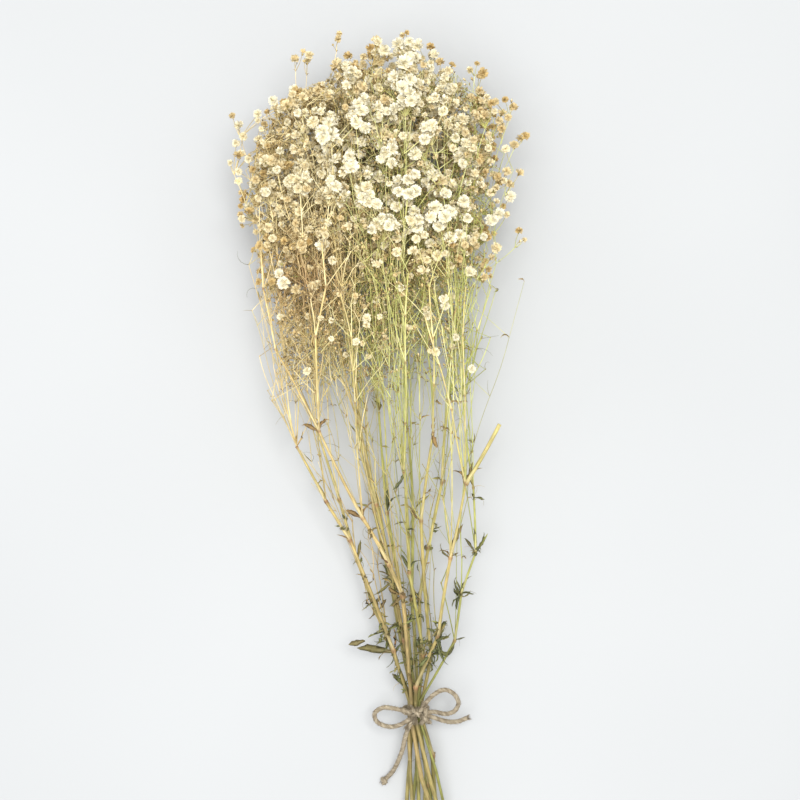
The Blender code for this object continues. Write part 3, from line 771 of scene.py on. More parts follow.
def bracts(growth, place, heading, radius, rng):
    """A pair of tiny dry bracts at a fork."""
    side = sideways(heading, rng)
    for turn in (1, -1):
        way = (side * turn * 0.8 + heading * 0.7).normalized()
        bract(growth, place, way, heading.cross(way).normalized(), rng.uniform(1.4, 3.2),
              mixed(STRAW, BROWN, rng.random() ** 1.5))


# Blossoms: a few shapes of double blossom, placed again and again

# petal is 0 on the calyx, and from 1 to 2 on a petal: how dry it is, plus painted shade on the outermost
# petals
Shape = namedtuple("Shape", "points faces along petal")
# Each kind of blossom: its petals, how far the lowest lean out, and their length and width
KINDS = {"ball": (36, 122, 0.9, 0.66), "open": (28, 108, 0.92, 0.68), "cup": (17, 62, 1.1, 0.6),
         "small": (18, 112, 0.92, 0.8)}
PETAL_ROWS = ((0.6, 1.0), (1.0, 0.72))
PETAL_NOTCH = 0.06
PETAL_TURN = 2.4
# Petals that lean out further than this, on a blossom's lower side, are tanned with painted shade
SHADED_PETAL_LEAN = 1.25
HEART = Vector((0, 0, 0.08))
CALYX_SIDES = 5


def blossom_shape(kind, rng):
    """A double blossom of unit radius along +Z: a cup of sepals and a ball of crumpled petals."""
    count, spread, length, width = KINDS[kind]
    points = []
    for height, radius in ((-0.62, 0.08), (-0.06, 0.42)):
        for i in range(CALYX_SIDES):
            angle = math.tau * i / CALYX_SIDES
            points.append((math.cos(angle) * radius, math.sin(angle) * radius, height))
    quads = [(i, (i + 1) % CALYX_SIDES, CALYX_SIDES + (i + 1) % CALYX_SIDES, CALYX_SIDES + i)
             for i in range(CALYX_SIDES)]
    triangles = []
    along = [0.0] * CALYX_SIDES + [1.0] * CALYX_SIDES
    petal = [0.0] * 2 * CALYX_SIDES
    for i in range(count):
        height = 1 - (i + 0.5) / count * (1 - math.cos(math.radians(spread)))
        lean = math.acos(height) + rng.gauss(0, 0.1)
        azimuth = PETAL_TURN * i + rng.gauss(0, 0.25)
        broad = width * (0.72 + 0.28 * min(lean, 1.0)) * rng.uniform(0.85, 1.15)
        curl = -0.2 + 0.6 * min(lean / 1.4, 1.0) + rng.gauss(0, 0.26)
        shape = (length * rng.uniform(0.9, 1.05), broad, curl)
        add_petal(points, quads, triangles, azimuth, lean, shape, rng)
        along += [0.0] + [part for part, _ in PETAL_ROWS for _ in range(3)]
        # Some petals are drier at random; those that lean furthest out also get painted shade
        dry = 0.75 * rng.random() + (0.35 if lean > SHADED_PETAL_LEAN else 0.0)
        petal += [1 + min(dry, 1.0)] * (1 + 3 * len(PETAL_ROWS))
    return Shape(np.array(points), [np.array(quads), np.array(triangles)], np.array(along), np.array(petal))


def add_petal(points, quads, triangles, azimuth, lean, shape, rng):
    """One crumpled petal: its claw, and rows of three points up to its notched tip."""
    length, width, curl = shape
    out = Vector((math.cos(azimuth), math.sin(azimuth), 0))
    across = Vector((-math.sin(azimuth), math.cos(azimuth), 0))
    up = Vector((0, 0, 1))
    twist = rng.gauss(0, 0.9 * max(0.2, 1 - lean / 2))
    place = HEART.copy()
    claw = len(points)
    points.append(tuple(place))
    before = -0.1
    for part, broad in PETAL_ROWS:
        angle = lean + curl * (part - 0.3)
        way = out * math.sin(angle) + up * math.cos(angle)
        place = place + way * length * (part - before)
        before = part
        side = across * math.cos(twist) + way.cross(across) * math.sin(twist)
        for edge in (-1, 0, 1):
            crumple = any_way(rng) * 0.05 * (0.2 + part)
            point = place + (side * edge * width / 2 + side.cross(way) * abs(edge) * 0.15) * broad + crumple
            if part == 1.0 and edge == 0:
                point -= way * PETAL_NOTCH
            points.append(tuple(point))
    for column in range(2):
        low = claw + 1 + column
        triangles.append((claw, low + 1, low))
        quads.append((low, low + 1, low + 4, low + 3))


def place_blossom(growth, shape, place, heading, size, colours, rng):
    """Puts one blossom of this shape at a place. A few of its petals are drier than the rest, and its
    outermost petals are tanned with painted shade.
    """
    turn = heading.to_track_quat("Z", "Y").to_matrix() @ Matrix.Rotation(rng.uniform(0, math.tau), 3, "Z")
    squash = Vector((rng.uniform(0.88, 1.1), rng.uniform(0.88, 1.1), rng.uniform(0.82, 1.1)))
    local = shape.points * np.array(squash)
    points = local @ np.array(turn).T * size + np.array(place)
    calyx, claw, tip = colours
    # How far a point takes the tip's colour: less towards the claw, on drier petals, and on the outermost
    # petals with painted shade
    fresh = shape.along[:, None] ** 1.3 * (1 - (shape.petal[:, None] - 1) ** 3)
    petals = np.asarray(claw) * (1 - fresh) + np.asarray(tip) * fresh
    cup = np.asarray(calyx) * (0.7 + 0.5 * shape.along[:, None])
    growth.add(points, shape.faces, np.where(shape.petal[:, None] > 0, petals, cup),
               local + rng.uniform(0, 400))


class Blossoms:
    """The blossoms of one spray, with their colours by age and by place, and painted shade on the outermost
    upper ones.
    """

    def __init__(self, shapes):
        self.growth = Growth()
        self.shapes = shapes
        self.places = []

    def put(self, place, heading, rng, size=None, white=None):
        """Adds one, and gives the place of its neck and its calyx's colour."""
        across, depth = shares_of(place)
        edge, drier = (0.3, 1.6) if across < 0 else (0.5, 1.7)
        rim = min(max(0.0, abs(across) - edge), 0.4) * drier
        low = unit((LOW_BLOSSOMS - place.y) / 30)
        if white is None:
            white = 0.64 + 0.22 * max(depth, -0.5) + 0.4 * bright_at(place) - 0.7 * rim - 0.4 * low
            white += rng.gauss(0, 0.22)
            white -= 0.5 * max(0.0, 0.7 - math.hypot(across, depth))
            if rng.random() < DRIER_CHANCE:
                white -= 0.5
        if size is None:
            larger = (0.14 + 0.2 * bright_at(place)) * max(depth, 0) ** 2
            size = rng.uniform(*BLOSSOM_RADIUS) * (1 + larger - 0.25 * rim - 0.12 * low)
            if rng.random() < LARGER_CHANCE:
                size *= 1.2
        place = Room.kept(place, size)
        tip = mixed(mixed(TAN, CREAM, white * 1.5 + 0.2), WHITE, white * 1.6 - 0.55)
        claw = mixed(mixed(TAN, PEACH, white * 1.6 + 0.1), CREAM, white * 1.3)
        calyx = mixed(CALYX, mixed(BROWN, GREEN, rng.random()), rng.uniform(0, 0.7))
        out = math.hypot(across, depth)
        # Painted shade: the outermost blossoms on the upper side, where most light falls, are darkened to
        # even out the light
        if depth > -0.1:
            painted_shade = 1 - OUTER_PAINTED_SHADE * unit((out - 0.6) / 0.35)
            tip, claw = tip * painted_shade, claw * painted_shade
        heading = (heading + Vector((0, 0, 0.35))).normalized()
        kind = rng.choice(("ball", "ball", "open", "cup") if white < 0.6 else ("ball", "ball", "open"))
        if out < INNER or size < SMALL_BLOSSOM:
            kind = "small"
        shape = rng.choice(self.shapes[kind])
        place_blossom(self.growth, shape, place, heading, size, (calyx, claw, tip), rng)
        self.places.append(place)
        return place - heading * size * 0.58, calyx


def bright_at(place):
    """How near a place is to the whitest part of the head, from 0 to 1."""
    spot = place.to_2d()
    start, end = BRIGHT_BAND
    gap = min((spot - nearest_on(start, end, spot)).length, (spot - BRIGHT_TOP).length)
    return math.exp(-((gap / BRIGHT_REACH) ** 2))



# What grows on the plan's joints

Hub = namedtuple("Hub", "place heading radius owner")


class Plant:
    """One spray as it grows: its stems and leaves, its blossoms, and the hubs that more can grow from."""

    def __init__(self, owner, spray, shapes):
        self.owner = owner
        self.spray = spray
        self.growth = Growth()
        self.blossoms = Blossoms(shapes)
        self.hubs = []

    def stem_tint(self, place, rng):
        """Straw, golden or green by the spray, by the place in the bunch and at random, with painted light
        and shade along the bunch.
        """
        across, depth = shares_of(place)
        patch = noise.noise(place * 0.016 + Vector((self.owner * 7.3, 0, 0)))
        upper = unit((place.y + 60) / 120)
        green = 0.06 + self.spray.green * 0.8 + (0.3 + 0.3 * upper) * across + 0.15 * upper + 0.6 * patch
        light = 0.5 + 0.9 * noise.noise(place * 0.03) + rng.gauss(0, 0.2)
        pale = unit((place.y + 110) / 120) * min(0.35 + 0.65 * max(depth, 0.0) + 0.2 * abs(across), 1.0)
        dry = mixed(GOLDEN, mixed(STRAW, PALE_STRAW, pale), light + 0.25 * pale)
        fresh = mixed(GREEN, PALE_GREEN, light * upper * pale)
        tint = mixed(dry, fresh, green + rng.gauss(0, 0.15))
        return mixed(tint, RUSSET, russet_at(place)) * rng.uniform(0.8, 1.2) * tone_and_painted_light(place)

    def hub(self, place, heading, radius):
        self.hubs.append(Hub(place, heading, radius, self.owner))


def tone_and_painted_light(place):
    """How much of its colour a stem keeps here. It is darkest round the tie, partly the stems' own darker
    colour and partly painted shade where they lie open to the light, and painted light makes it paler up in
    the head, where the bunch shades it.
    """
    lower = unit((place.y + 190) / 110)
    upper = unit((place.y + 10) / 120)
    below = unit((-208 - place.y) / 30)
    return 0.5 + 0.5 * lower + 0.42 * upper + 0.14 * below



def russet_at(place):
    """How far the brown-red patch in the left of the bunch reaches here."""
    return RUSSET_DEPTH * max(0.0, 1 - ((place - RUSSET_PLACE) / RUSSET_REACH).length)


def segment_steps(length):
    """Distances along an internode, closer together near the joints at its ends."""
    near = [0.0, 0.8, 1.8, 3.4, 6.0]
    if length < 2 * near[-1] + 2:
        return list(np.linspace(0, length, 6))
    far = list(np.linspace(near[-1], length - near[-1], max(3, int(length / 12))))
    return near[:-1] + far + [length - step for step in reversed(near[:-1])]


def grow_stem(plant, places, radii, jointed, rng):
    """A stem with straight internodes that bends and swells at its joints."""
    path = []
    thick = []
    colours = []
    nodes = [rng.uniform(0.5, 0.95) for _ in places]
    for i in range(len(places) - 1):
        low, high = places[i], places[i + 1]
        way = high - low
        side = sideways(way.normalized(), rng) * way.length * 0.012
        if not (jointed[i] or jointed[i + 1]):
            side *= 0
        for step in segment_steps(way.length):
            part = step / way.length
            if path and part == 0:
                continue
            gap = min(step if jointed[i] else 99.0, way.length - step if jointed[i + 1] else 99.0)
            radius = radii[i] + (radii[i + 1] - radii[i]) * part
            place = low + way * part + side * 4 * part * (1 - part)
            # The stem's colour carries painted light and shade along the bunch, as in stem_tint
            tint = plant.stem_tint(place, rng) * 0.4 + np.asarray(plant.base_tint) * 0.6 * tone_and_painted_light(place)
            swell = math.exp(-((gap / (1.7 * radius)) ** 2))
            above = jointed[i] and 1.5 < step < 9
            tint = mixed(tint, np.asarray(PALE_STRAW) * tone_and_painted_light(place), 0.4 if above else 0.0)
            tint = mixed(tint, NODE, swell * nodes[i if step < way.length / 2 else i + 1])
            path.append(place)
            thick.append(radius * (1 + 0.45 * swell))
            colours.append(tint)
    tube(plant.growth, path, thick, colours, STEM_SIDES, start=rng.uniform(0, 900), closed=True)


def leaf_pair(plant, place, heading, size, rng, chance=0.85):
    """Two narrow curled leaves at a joint, some of them lost."""
    side = sideways(heading, rng)
    for turn in (1, -1):
        if rng.random() > chance:
            continue
        out = (side * turn * rng.uniform(0.5, 1.0) + heading * rng.uniform(0.5, 1.1)).normalized()
        length = size * rng.uniform(0.5, 1.25)
        width = min(0.16 * length + 0.5, 3.4) * rng.uniform(0.75, 1.15)
        shape = (length, width, rng.uniform(-1.8, 2.6), rng.uniform(-2.2, 2.2), 7)
        green = plant.spray.green + rng.gauss(0.1, 0.35)
        base = mixed(mixed(NODE, BROWN, 0.4), OLIVE, green)
        dry = mixed(BROWN, GOLDEN, rng.uniform(0.2, 0.9))
        tip = mixed(dry, mixed(OLIVE, GREEN, rng.random() ** 2), green)
        pale = min(max((place.y + 90) / 70, 0.0), 0.75)
        base = mixed(base, mixed(GOLDEN, NODE, 0.3), pale)
        tip = mixed(tip, mixed(STRAW, GREEN, green), pale)
        blade(plant.growth, place + out * 0.4, out, heading.cross(out), shape, (base, tip), rng)


def tendril(plant, place, heading, rng):
    """A thin curved hair, the dry remnant of a side twig."""
    side = sideways(heading, rng)
    way = (heading * 0.5 + side).normalized()
    bend = sideways(way, rng)
    length = rng.uniform(7, 17)
    turn = Matrix.Rotation(rng.uniform(0.25, 0.6), 3, bend)
    path = [place]
    for _ in range(5):
        path.append(path[-1] + way * length / 5)
        way = turn @ way
    tube(plant.growth, path, np.linspace(0.2, 0.07, 6), mixed(GOLDEN, OLIVE, rng.random()), HAIR_SIDES)


def grow_main_stem(plant, joints, rng):
    """The main stem, from its cut end through the tie and up to its last joint."""
    spray = plant.spray
    seat = TIE + Vector((spray.seat[0], 0, spray.seat[1]))
    middle = NODE_BELOW_TIE.get(spray.name, spray.tail * 0.5)
    places = [below_tie(spray, spray.tail), below_tie(spray, middle)]
    places += [seat + Vector((0, side * TIE_HALF_LENGTH, 0)) for side in (-1, 1)]
    radii = [spray.radius * SLENDER] * 2 + [spray.radius * WAIST * SLENDER] * 2
    jointed = [False, spray.name in NODE_BELOW_TIE, False, False] + [True] * len(joints)
    places += [joint.place for joint in joints]
    radii += [joint.radius * SLENDER * (1 - TAPER * (i + 1) / len(joints))
              for i, joint in enumerate(joints)]
    dry = mixed(mixed(BROWN, GOLDEN, 0.7), STRAW, rng.uniform(0.1, 1.0))
    plant.base_tint = mixed(dry, GREEN, spray.green * 0.9) * rng.uniform(0.85, 1.1)
    plant.line = places
    grow_stem(plant, places, radii, jointed, rng)
    if spray.name == STUB_OF:
        last = joints[-1].place
        grow_stem(plant, [last, STUB_END], [STUB_RADIUS] * 2, [True, False], rng)


def grow_shoots(plant, joint, mains, rng):
    """Every twig above a joint, to its blossoms."""
    for shoot in joint.shoots:
        if shoot in mains:
            continue
        heading = (shoot.place - joint.place).normalized()
        if shoot.blossom:
            neck, calyx = plant.blossoms.put(shoot.place, heading, rng)
            tint = plant.stem_tint(joint.place, rng)
            twig(plant.growth, joint.place, neck, (0.3, 0.22), (tint, calyx), 0.09, rng, HAIR_SIDES)
            continue
        start = plant.stem_tint(joint.place, rng)
        end = plant.stem_tint(shoot.place, rng)
        radii = [max(shoot.radius * share, FINEST_TWIG) for share in (0.62, 0.55)]
        steps = 4 if shoot.radius > 0.5 else 3
        heading = twig(plant.growth, joint.place, shoot.place, radii, (start, end), 0.05, rng, steps=steps)
        knuckle(plant.growth, shoot.place, heading, radii[1], end)
        bracts(plant.growth, shoot.place, heading, radii[1], rng)
        plant.hub(shoot.place, heading, radii[1])
        plant.hub(joint.place.lerp(shoot.place, 0.55), heading, radii[1])
        if shoot.radius > 0.6:
            leaf_pair(plant, shoot.place, heading, 9.0, rng, 0.6)
        grow_shoots(plant, shoot, mains, rng)
    cluster = [shoot for shoot in joint.shoots if shoot.blossom]
    if cluster:
        more_blossoms(plant, joint, cluster, rng)


def more_blossoms(plant, joint, cluster, rng):
    """The smaller blossoms and buds that fill out a cluster."""
    middle = sum((shoot.place for shoot in cluster), Vector()) / len(cluster)
    for _ in range(rng.randint(*MORE_BLOSSOMS) if len(cluster) > STRAY_BLOSSOMS else 1):
        step = any_way(rng).normalized()
        place = middle + step * rng.uniform(0.5, 1.15) * CLUSTER_REACH
        place.z = max(place.z, REST_HEIGHT)
        near = [other for other in plant.blossoms.places[-12:] if (other - place).length < CROWDED]
        heading = (place - joint.place).normalized()
        tint = plant.stem_tint(joint.place, rng)
        if near or rng.random() < 0.25 or len(cluster) <= STRAY_BLOSSOMS:
            place = joint.place + (place - joint.place) * rng.uniform(0.6, 0.9)
            bud(plant, place, heading, rng)
            twig(plant.growth, joint.place, place, (0.27, 0.2), (tint, CALYX), 0.1, rng, HAIR_SIDES)
        else:
            neck, calyx = plant.blossoms.put(place, heading, rng)
            twig(plant.growth, joint.place, neck, (0.28, 0.2), (tint, calyx), 0.1, rng, HAIR_SIDES)


def bud(plant, place, heading, rng):
    """A small closed bud, its cup brown and its tip cream."""
    size = rng.uniform(0.7, 1.4)
    path = [place + heading * size * step for step in (-1.1, 0.2, 1.3)]
    cup = mixed(mixed(CALYX, BROWN, rng.random() ** 5), RUSSET, russet_at(place))
    top = mixed(TAN, CREAM, rng.uniform(-0.5, 1.0) - russet_at(place))
    tube(plant.growth, path, [size * 0.25, size * 0.85, size * 0.1], [cup, mixed(cup, top, 0.4), top],
         HAIR_SIDES)


def cyme(plant, place, heading, length, depth, radius, tint, rng):
    """Twigs that fork in pairs, ending in buds and now and then a small blossom."""
    end = drawn_in(place + heading * length, rng.uniform(0.84, 0.99))
    far = tint * rng.uniform(0.85, 1.1)
    heading = twig(plant.growth, place, end, (radius, radius * 0.85), (tint, far), 0.07, rng, HAIR_SIDES,
                   2 if depth > 1 else 1)
    if depth == 0:
        if rng.random() < (0.14 if end.y > HEAD_LOW else 0.05 if end.y > 70 else 0):
            neck, _ = plant.blossoms.put(end + heading * 3.0, heading, rng, rng.uniform(2.0, 3.2),
                                         rng.uniform(0.1, 0.8))
            twig(plant.growth, end, neck, (radius, FINEST_TWIG * 0.7), (far, far), 0.0, rng, HAIR_SIDES, 1)
        elif rng.random() < 0.85:
            bud(plant, end, heading, rng)
        return
    side = sideways(heading, rng)
    spread = rng.uniform(0.4, 0.95)
    for turn in (1, -1):
        out = (heading + side * turn * spread + Vector((0, 0.08, 0))).normalized()
        cyme(plant, end, out, length * rng.uniform(0.55, 0.95), depth - 1, radius * 0.85, far, rng)
    if rng.random() < 0.7:
        bracts(plant.growth, end, heading, radius, rng)


def climb(plant, start, target, radius, rng, kink=SIDE_STEM_KINK, leafy=0.45):
    """A thin side stem with joints of its own, from a joint of the main stem up into the head."""
    nodes = max(2, round((target - start).length / SIDE_STEM_NODE))
    places = [start]
    for i in range(1, nodes):
        place = start.lerp(target, i / nodes + rng.uniform(-0.07, 0.07))
        place += Vector((rng.gauss(0, kink), 0, rng.gauss(0, kink)))
        place.z = max(place.z, LOWEST_JOINT)
        places.append(place)
    places.append(target)
    shade = rng.uniform(0.6, 1.1)
    for i, (low, high) in enumerate(zip(places, places[1:])):
        thick = (radius * 0.86**i, radius * 0.86 ** (i + 1))
        tints = (plant.stem_tint(low, rng) * shade, plant.stem_tint(high, rng) * shade)
        heading = twig(plant.growth, low, high, thick, tints, 0.04, rng, steps=4)
        knuckle(plant.growth, high, heading, thick[1], tints[1])
        plant.hub(high, heading, thick[1])
        plant.hub(low.lerp(high, 0.6), heading, thick[1])
        if high.y < HEAD_LOW:
            leaf_pair(plant, high, heading, rng.uniform(4, 10), rng, leafy)
        if rng.random() < 0.5:
            tendril(plant, high, heading, rng)
        if i < nodes - 1 and rng.random() < (0.8 if high.y > 30 else 0.3):
            out = (heading + sideways(heading, rng) * rng.uniform(0.35, 0.8)).normalized()
            side_twig(plant, high, out, rng.uniform(18, 46), thick[1] * 0.75, rng)


def side_twig(plant, place, heading, length, radius, rng):
    """A twig that leaves a side stem, forks once and carries cymes."""
    radius = max(radius, FINEST_TWIG)
    end = drawn_in(place + heading * length, 1.0)
    tints = (plant.stem_tint(place, rng), plant.stem_tint(end, rng))
    heading = twig(plant.growth, place, end, (radius, radius * 0.8), tints, 0.05, rng)
    knuckle(plant.growth, end, heading, radius * 0.8, tints[1])
    plant.hub(end, heading, radius * 0.8)
    if end.y > CYME_LOW:
        length = rng.uniform(*CYME_TWIG)
        cyme(plant, end, heading, length, 2, FINEST_TWIG, tints[1], rng)


# Thin stems along the edges of the bunch, each to a place of its own
EDGE_STEMS = (
    ("spray_left", (-93, 104, 58)), ("spray_left", (-95, 138, 62)), ("spray_left", (-88, 70, 52)),
    ("spray_left", (-82, 44, 50)), ("spray_back_left", (-92, 122, 40)), ("spray_back_left", (-84, 84, 36)),
    ("spray_back_right", (86, 84, 56)), ("spray_back_right", (90, 120, 60)), ("spray_right", (82, 60, 60)),
)


def grow_side_stems(plant, joints, clusters, others, rng):
    """Thin side stems from the joints of the main stem, some of which cross into other sprays."""
    for joint, after in zip(joints, joints[1:] + [joints[-1].shoots[0]]):
        heading = (after.place - joint.place).normalized()
        leaf_pair(plant, joint.place, heading, 15.0, rng, 0.7)
        if rng.random() < 0.6:
            tendril(plant, joint.place, heading, rng)
        for _ in range(rng.choice((1, 1, 2, 3))):
            cluster = rng.choice(clusters if rng.random() < 0.85 else others)
            target = cluster.place - Vector((0, rng.uniform(14, 60), 0))
            target.z = max(target.z, REST_HEIGHT)
            climb(plant, joint.place, target, rng.uniform(*SIDE_STEM_RADIUS), rng)
    for name, place in EDGE_STEMS:
        if name == plant.spray.name:
            target = Vector(place)
            climb(plant, joints[-1].place, target, 0.45, rng, EDGE_KINK, 0.1)
            cyme(plant, target, Vector((0, 1, 0)), 9.0, 2, FINEST_TWIG, plant.stem_tint(target, rng), rng)


# Stems that can be told apart in front of the haze: their spray, their radius and where they pass
FRONT_STEMS = (
    ("spray_front_left", 0.8, ((-42, 14, 70), (-43, 83, 99), (-35, 118, 108), (-38, 150, 110))),
    ("spray_front_left", 0.78, ((-42, 14, 70), (-74, 74, 73), (-83, 119, 75), (-85, 154, 78))),
    ("spray_inner_left", 0.7, ((0, -43, 40), (-12, 0, 66), (-15, 35, 83), (-17, 82, 100), (-25, 114, 108))),
    ("spray_front", 0.75, ((21, -17, 60), (22, 20, 82), (22, 64, 98), (22, 97, 107), (24, 128, 112))),
    ("spray_inner_right", 0.75, ((43, 13, 54), (43, 48, 80), (42, 82, 95), (39, 118, 106))),
    ("spray_front_right", 0.7, ((67, -26, 63), (56, 30, 79), (47, 62, 89), (36, 97, 103))),
    ("spray_front_right", 0.5, ((67, -26, 63), (66, 40, 76), (64, 84, 84), (66, 120, 90))),
    ("spray_back_right", 0.45, ((66, 40, 34), (76, 89, 56), (86, 121, 60), (80, 143, 66))),
    ("spray_left", 0.5, ((-60, 2, 52), (-70, 44, 58), (-78, 92, 62), (-84, 132, 64))),
)


def grow_front_stems(plant, rng):
    """The stems that pass in front of the haze, with their joints where they bend."""
    for name, radius, route in FRONT_STEMS:
        if name != plant.spray.name:
            continue
        places = [Vector(place) for place in route]
        radii = [radius * 0.88**i for i in range(len(places))]
        grow_stem(plant, places, radii, [True] * len(places), rng)
        for low, high, thick in zip(places, places[1:], radii[1:]):
            heading = (high - low).normalized()
            plant.hub(high, heading, thick)
            plant.hub(low.lerp(high, 0.5), heading, thick)
            bracts(plant.growth, high, heading, thick, rng)
            out = (heading + sideways(heading, rng) * rng.uniform(0.35, 0.8)).normalized()
            side_twig(plant, high, out, rng.uniform(18, 40), thick * 0.7, rng)


def nearest_on(low, high, place):
    """The point of a straight length that is nearest to a place."""
    way = high - low
    return low + way * unit((place - low).dot(way) / way.length_squared)


def placed_leaf(plant, leaf, rng):
    """One of the leaves that can be told apart, bent in an arc from its root to its tip."""
    root, tip = Vector(leaf.root), Vector(leaf.tip)
    near = min((nearest_on(low, high, root) for low, high in zip(plant.line, plant.line[1:])),
               key=lambda place: (place - root).length)
    if (near - root).length < LEAF_SNAP:
        root = near
    chord = tip - root
    side = chord.cross(Vector((0, 0, 1))).normalized()
    side = Matrix.Rotation(rng.choice((-1, 1)) * rng.uniform(0.3, 0.9), 3, chord.normalized()) @ side
    heading = Matrix.Rotation(-leaf.curl / 2, 3, side) @ chord.normalized()
    length = chord.length * (leaf.curl / 2) / math.sin(leaf.curl / 2)
    brown = mixed(BROWN, GOLDEN, rng.uniform(0.2, 0.6))
    base = mixed(brown, OLIVE, leaf.green)
    far = mixed(mixed(brown, GOLDEN, 0.3), OLIVE, leaf.green) * rng.uniform(0.9, 1.4)
    shape = (length, leaf.width, leaf.curl, rng.uniform(-1.4, 1.4), 9)
    blade(plant.growth, root, heading, side, shape, (base, far), rng)


def grow_remnants(plant, rng):
    """The crumpled remnants of leaves on one main stem."""
    for remnant in map(Remnant._make, REMNANTS.get(plant.spray.name, ())):
        for _ in range(remnant.count):
            y = remnant.y + rng.gauss(0, 2.5)
            low, high = next((a, b) for a, b in zip(plant.line, plant.line[1:]) if b.y >= y)
            place = low.lerp(high, (y - low.y) / (high.y - low.y))
            heading = (high - low).normalized()
            out = sideways(heading, rng) + Vector((0, 0, 0.3)) + heading * rng.uniform(-0.5, 1.2)
            out.normalize()
            full = 0.7 if remnant.y > -105 else 1.0
            length, width = remnant.length * rng.uniform(0.7, 1.8) * full, rng.uniform(1.8, 4.0) * full
            shape = (length, width, rng.uniform(-3.8, 3.8), rng.uniform(-3.4, 3.4), 9)
            dry = mixed(BROWN, GOLDEN, rng.random() ** 2)
            dark = mixed(dry, OLIVE, remnant.green + rng.gauss(0, 0.25))
            pale = mixed(dark, mixed(GOLDEN, GREEN, remnant.green), rng.random() ** 1.3 * 0.8)
            blade(plant.growth, place, out, heading.cross(out), shape, (dark, pale), rng)
        if remnant.count > 2:
            tendril(plant, place, heading, rng)
            tendril(plant, place, heading, rng)


def nearest_hub(hubs, places, place):
    """The hub below a place that is nearest to it, if one is near enough."""
    steps = np.array(place) - places
    gaps = np.linalg.norm(steps, axis=1)
    gaps[steps[:, 1] < 0.55 * gaps] = np.inf
    best = int(np.argmin(gaps))
    return hubs[best] if gaps[best] < REACH_LIMIT else None


def grow_cymes(plants, rng):
    """Cymes through the upper half of the bunch, each on a twig from the nearest hub below it."""
    hubs = [hub for plant in plants for hub in plant.hubs]
    places = np.array([hub.place for hub in hubs])
    made = 0
    while made < CYMES:
        angle = rng.uniform(-math.pi, math.pi)
        out = rng.random() ** 0.5
        y = rng.uniform(CYME_LOW, CYME_HIGH)
        across = out * math.cos(angle) * 0.92
        if rng.random() < 0.07:
            across = rng.choice((-1, -1, 1)) * rng.uniform(0.88, 1.0)
            out = 0.3
        if rng.random() > (y - CYME_LOW + 8) / (CYME_FULL - CYME_LOW + (45 if across > 0.2 else 0)):
            continue
        place = place_in_form(y, across, out * math.sin(angle) * 0.92)
        hub = nearest_hub(hubs, places, place)
        made += 1
        if hub is None:
            continue
        plant = plants[hub.owner]
        tint = plant.stem_tint(place, rng)
        heading = twig(plant.growth, hub.place, place, (FINEST_TWIG * 1.3, FINEST_TWIG),
                       (plant.stem_tint(hub.place, rng), tint), 0.06, rng, HAIR_SIDES)
        cyme(plant, place, heading, rng.uniform(*CYME_TWIG), CYME_DEPTH, FINEST_TWIG, tint, rng)


def grow_lone_blossoms(plants, rng):
    """The blossoms that can be told apart below the head, each on a twig of its own."""
    hubs = [hub for plant in plants for hub in plant.hubs]
    places = np.array([hub.place for hub in hubs])
    for place, size, white in LONE_BLOSSOMS:
        place = drawn_in(Vector(place), SIDE_REACH if abs(place[0]) > SIDE_BLOSSOMS else 1.0)
        hub = nearest_hub(hubs, places, place)
        if hub is None:
            continue
        plant = plants[hub.owner]
        heading = (place - hub.place).normalized()
        facing = (heading + Vector((0, 0, 0.8))).normalized()
        neck, calyx = plant.blossoms.put(place, facing, rng, size, white)
        twig(plant.growth, hub.place, neck, (FINEST_TWIG * 1.4, FINEST_TWIG),
             (plant.stem_tint(hub.place, rng), calyx), 0.05, rng)


def make_sprays(materials):
    """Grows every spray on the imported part's joints, then what fills the bunch between them."""
    rng = random.Random(SEED)
    shares = defaultdict(list)
    clusters = scatter_clusters(rng)
    for cluster in clusters:
        shares[spray_at(cluster.place)].append(cluster)
    trees = [spray_tree(spray, shares[i], rng) for i, spray in enumerate(SPRAYS)]
    shapes = {kind: [blossom_shape(kind, rng) for _ in range(4)] for kind in KINDS}
    plants = []
    for i, (spray, joints) in enumerate(zip(SPRAYS, trees)):
        plant = Plant(i, spray, shapes)
        grow_main_stem(plant, joints, rng)
        for joint in joints:
            grow_shoots(plant, joint, joints, rng)
        grow_side_stems(plant, joints, shares[i], clusters, rng)
        grow_front_stems(plant, rng)
        for leaf in map(Leaf._make, LEAVES.get(spray.name, ())):
            placed_leaf(plant, leaf, rng)
        grow_remnants(plant, rng)
        plants.append(plant)
    grow_cymes(plants, rng)
    grow_lone_blossoms(plants, rng)
    for plant in plants:
        name = plant.spray.name
        stems = plant.growth.piece(f"{name}_stems", materials["plant"], "dried_spray")
        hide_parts(name)
        plant.blossoms.growth.piece(f"{name}_blossoms", materials["petal"], "dried_spray")


# The twine


def smooth_path(places, spacing):
    """A path through the given places, rounded off between them."""
    points = [Vector(p) for p in places]
    path = []
    for i in range(len(points) - 1):
        before = points[max(i - 1, 0)]
        after = points[min(i + 2, len(points) - 1)]
        a, b = points[i], points[i + 1]
        steps = max(1, round((b - a).length / spacing))
        for k in range(steps):
            t = k / steps
            path.append(0.5 * (2 * a + (b - before) * t + (2 * before - 5 * a + 4 * b - after) * t**2
                               + (3 * a - before - 3 * b + after) * t**3))
    path.append(points[-1])
    return path


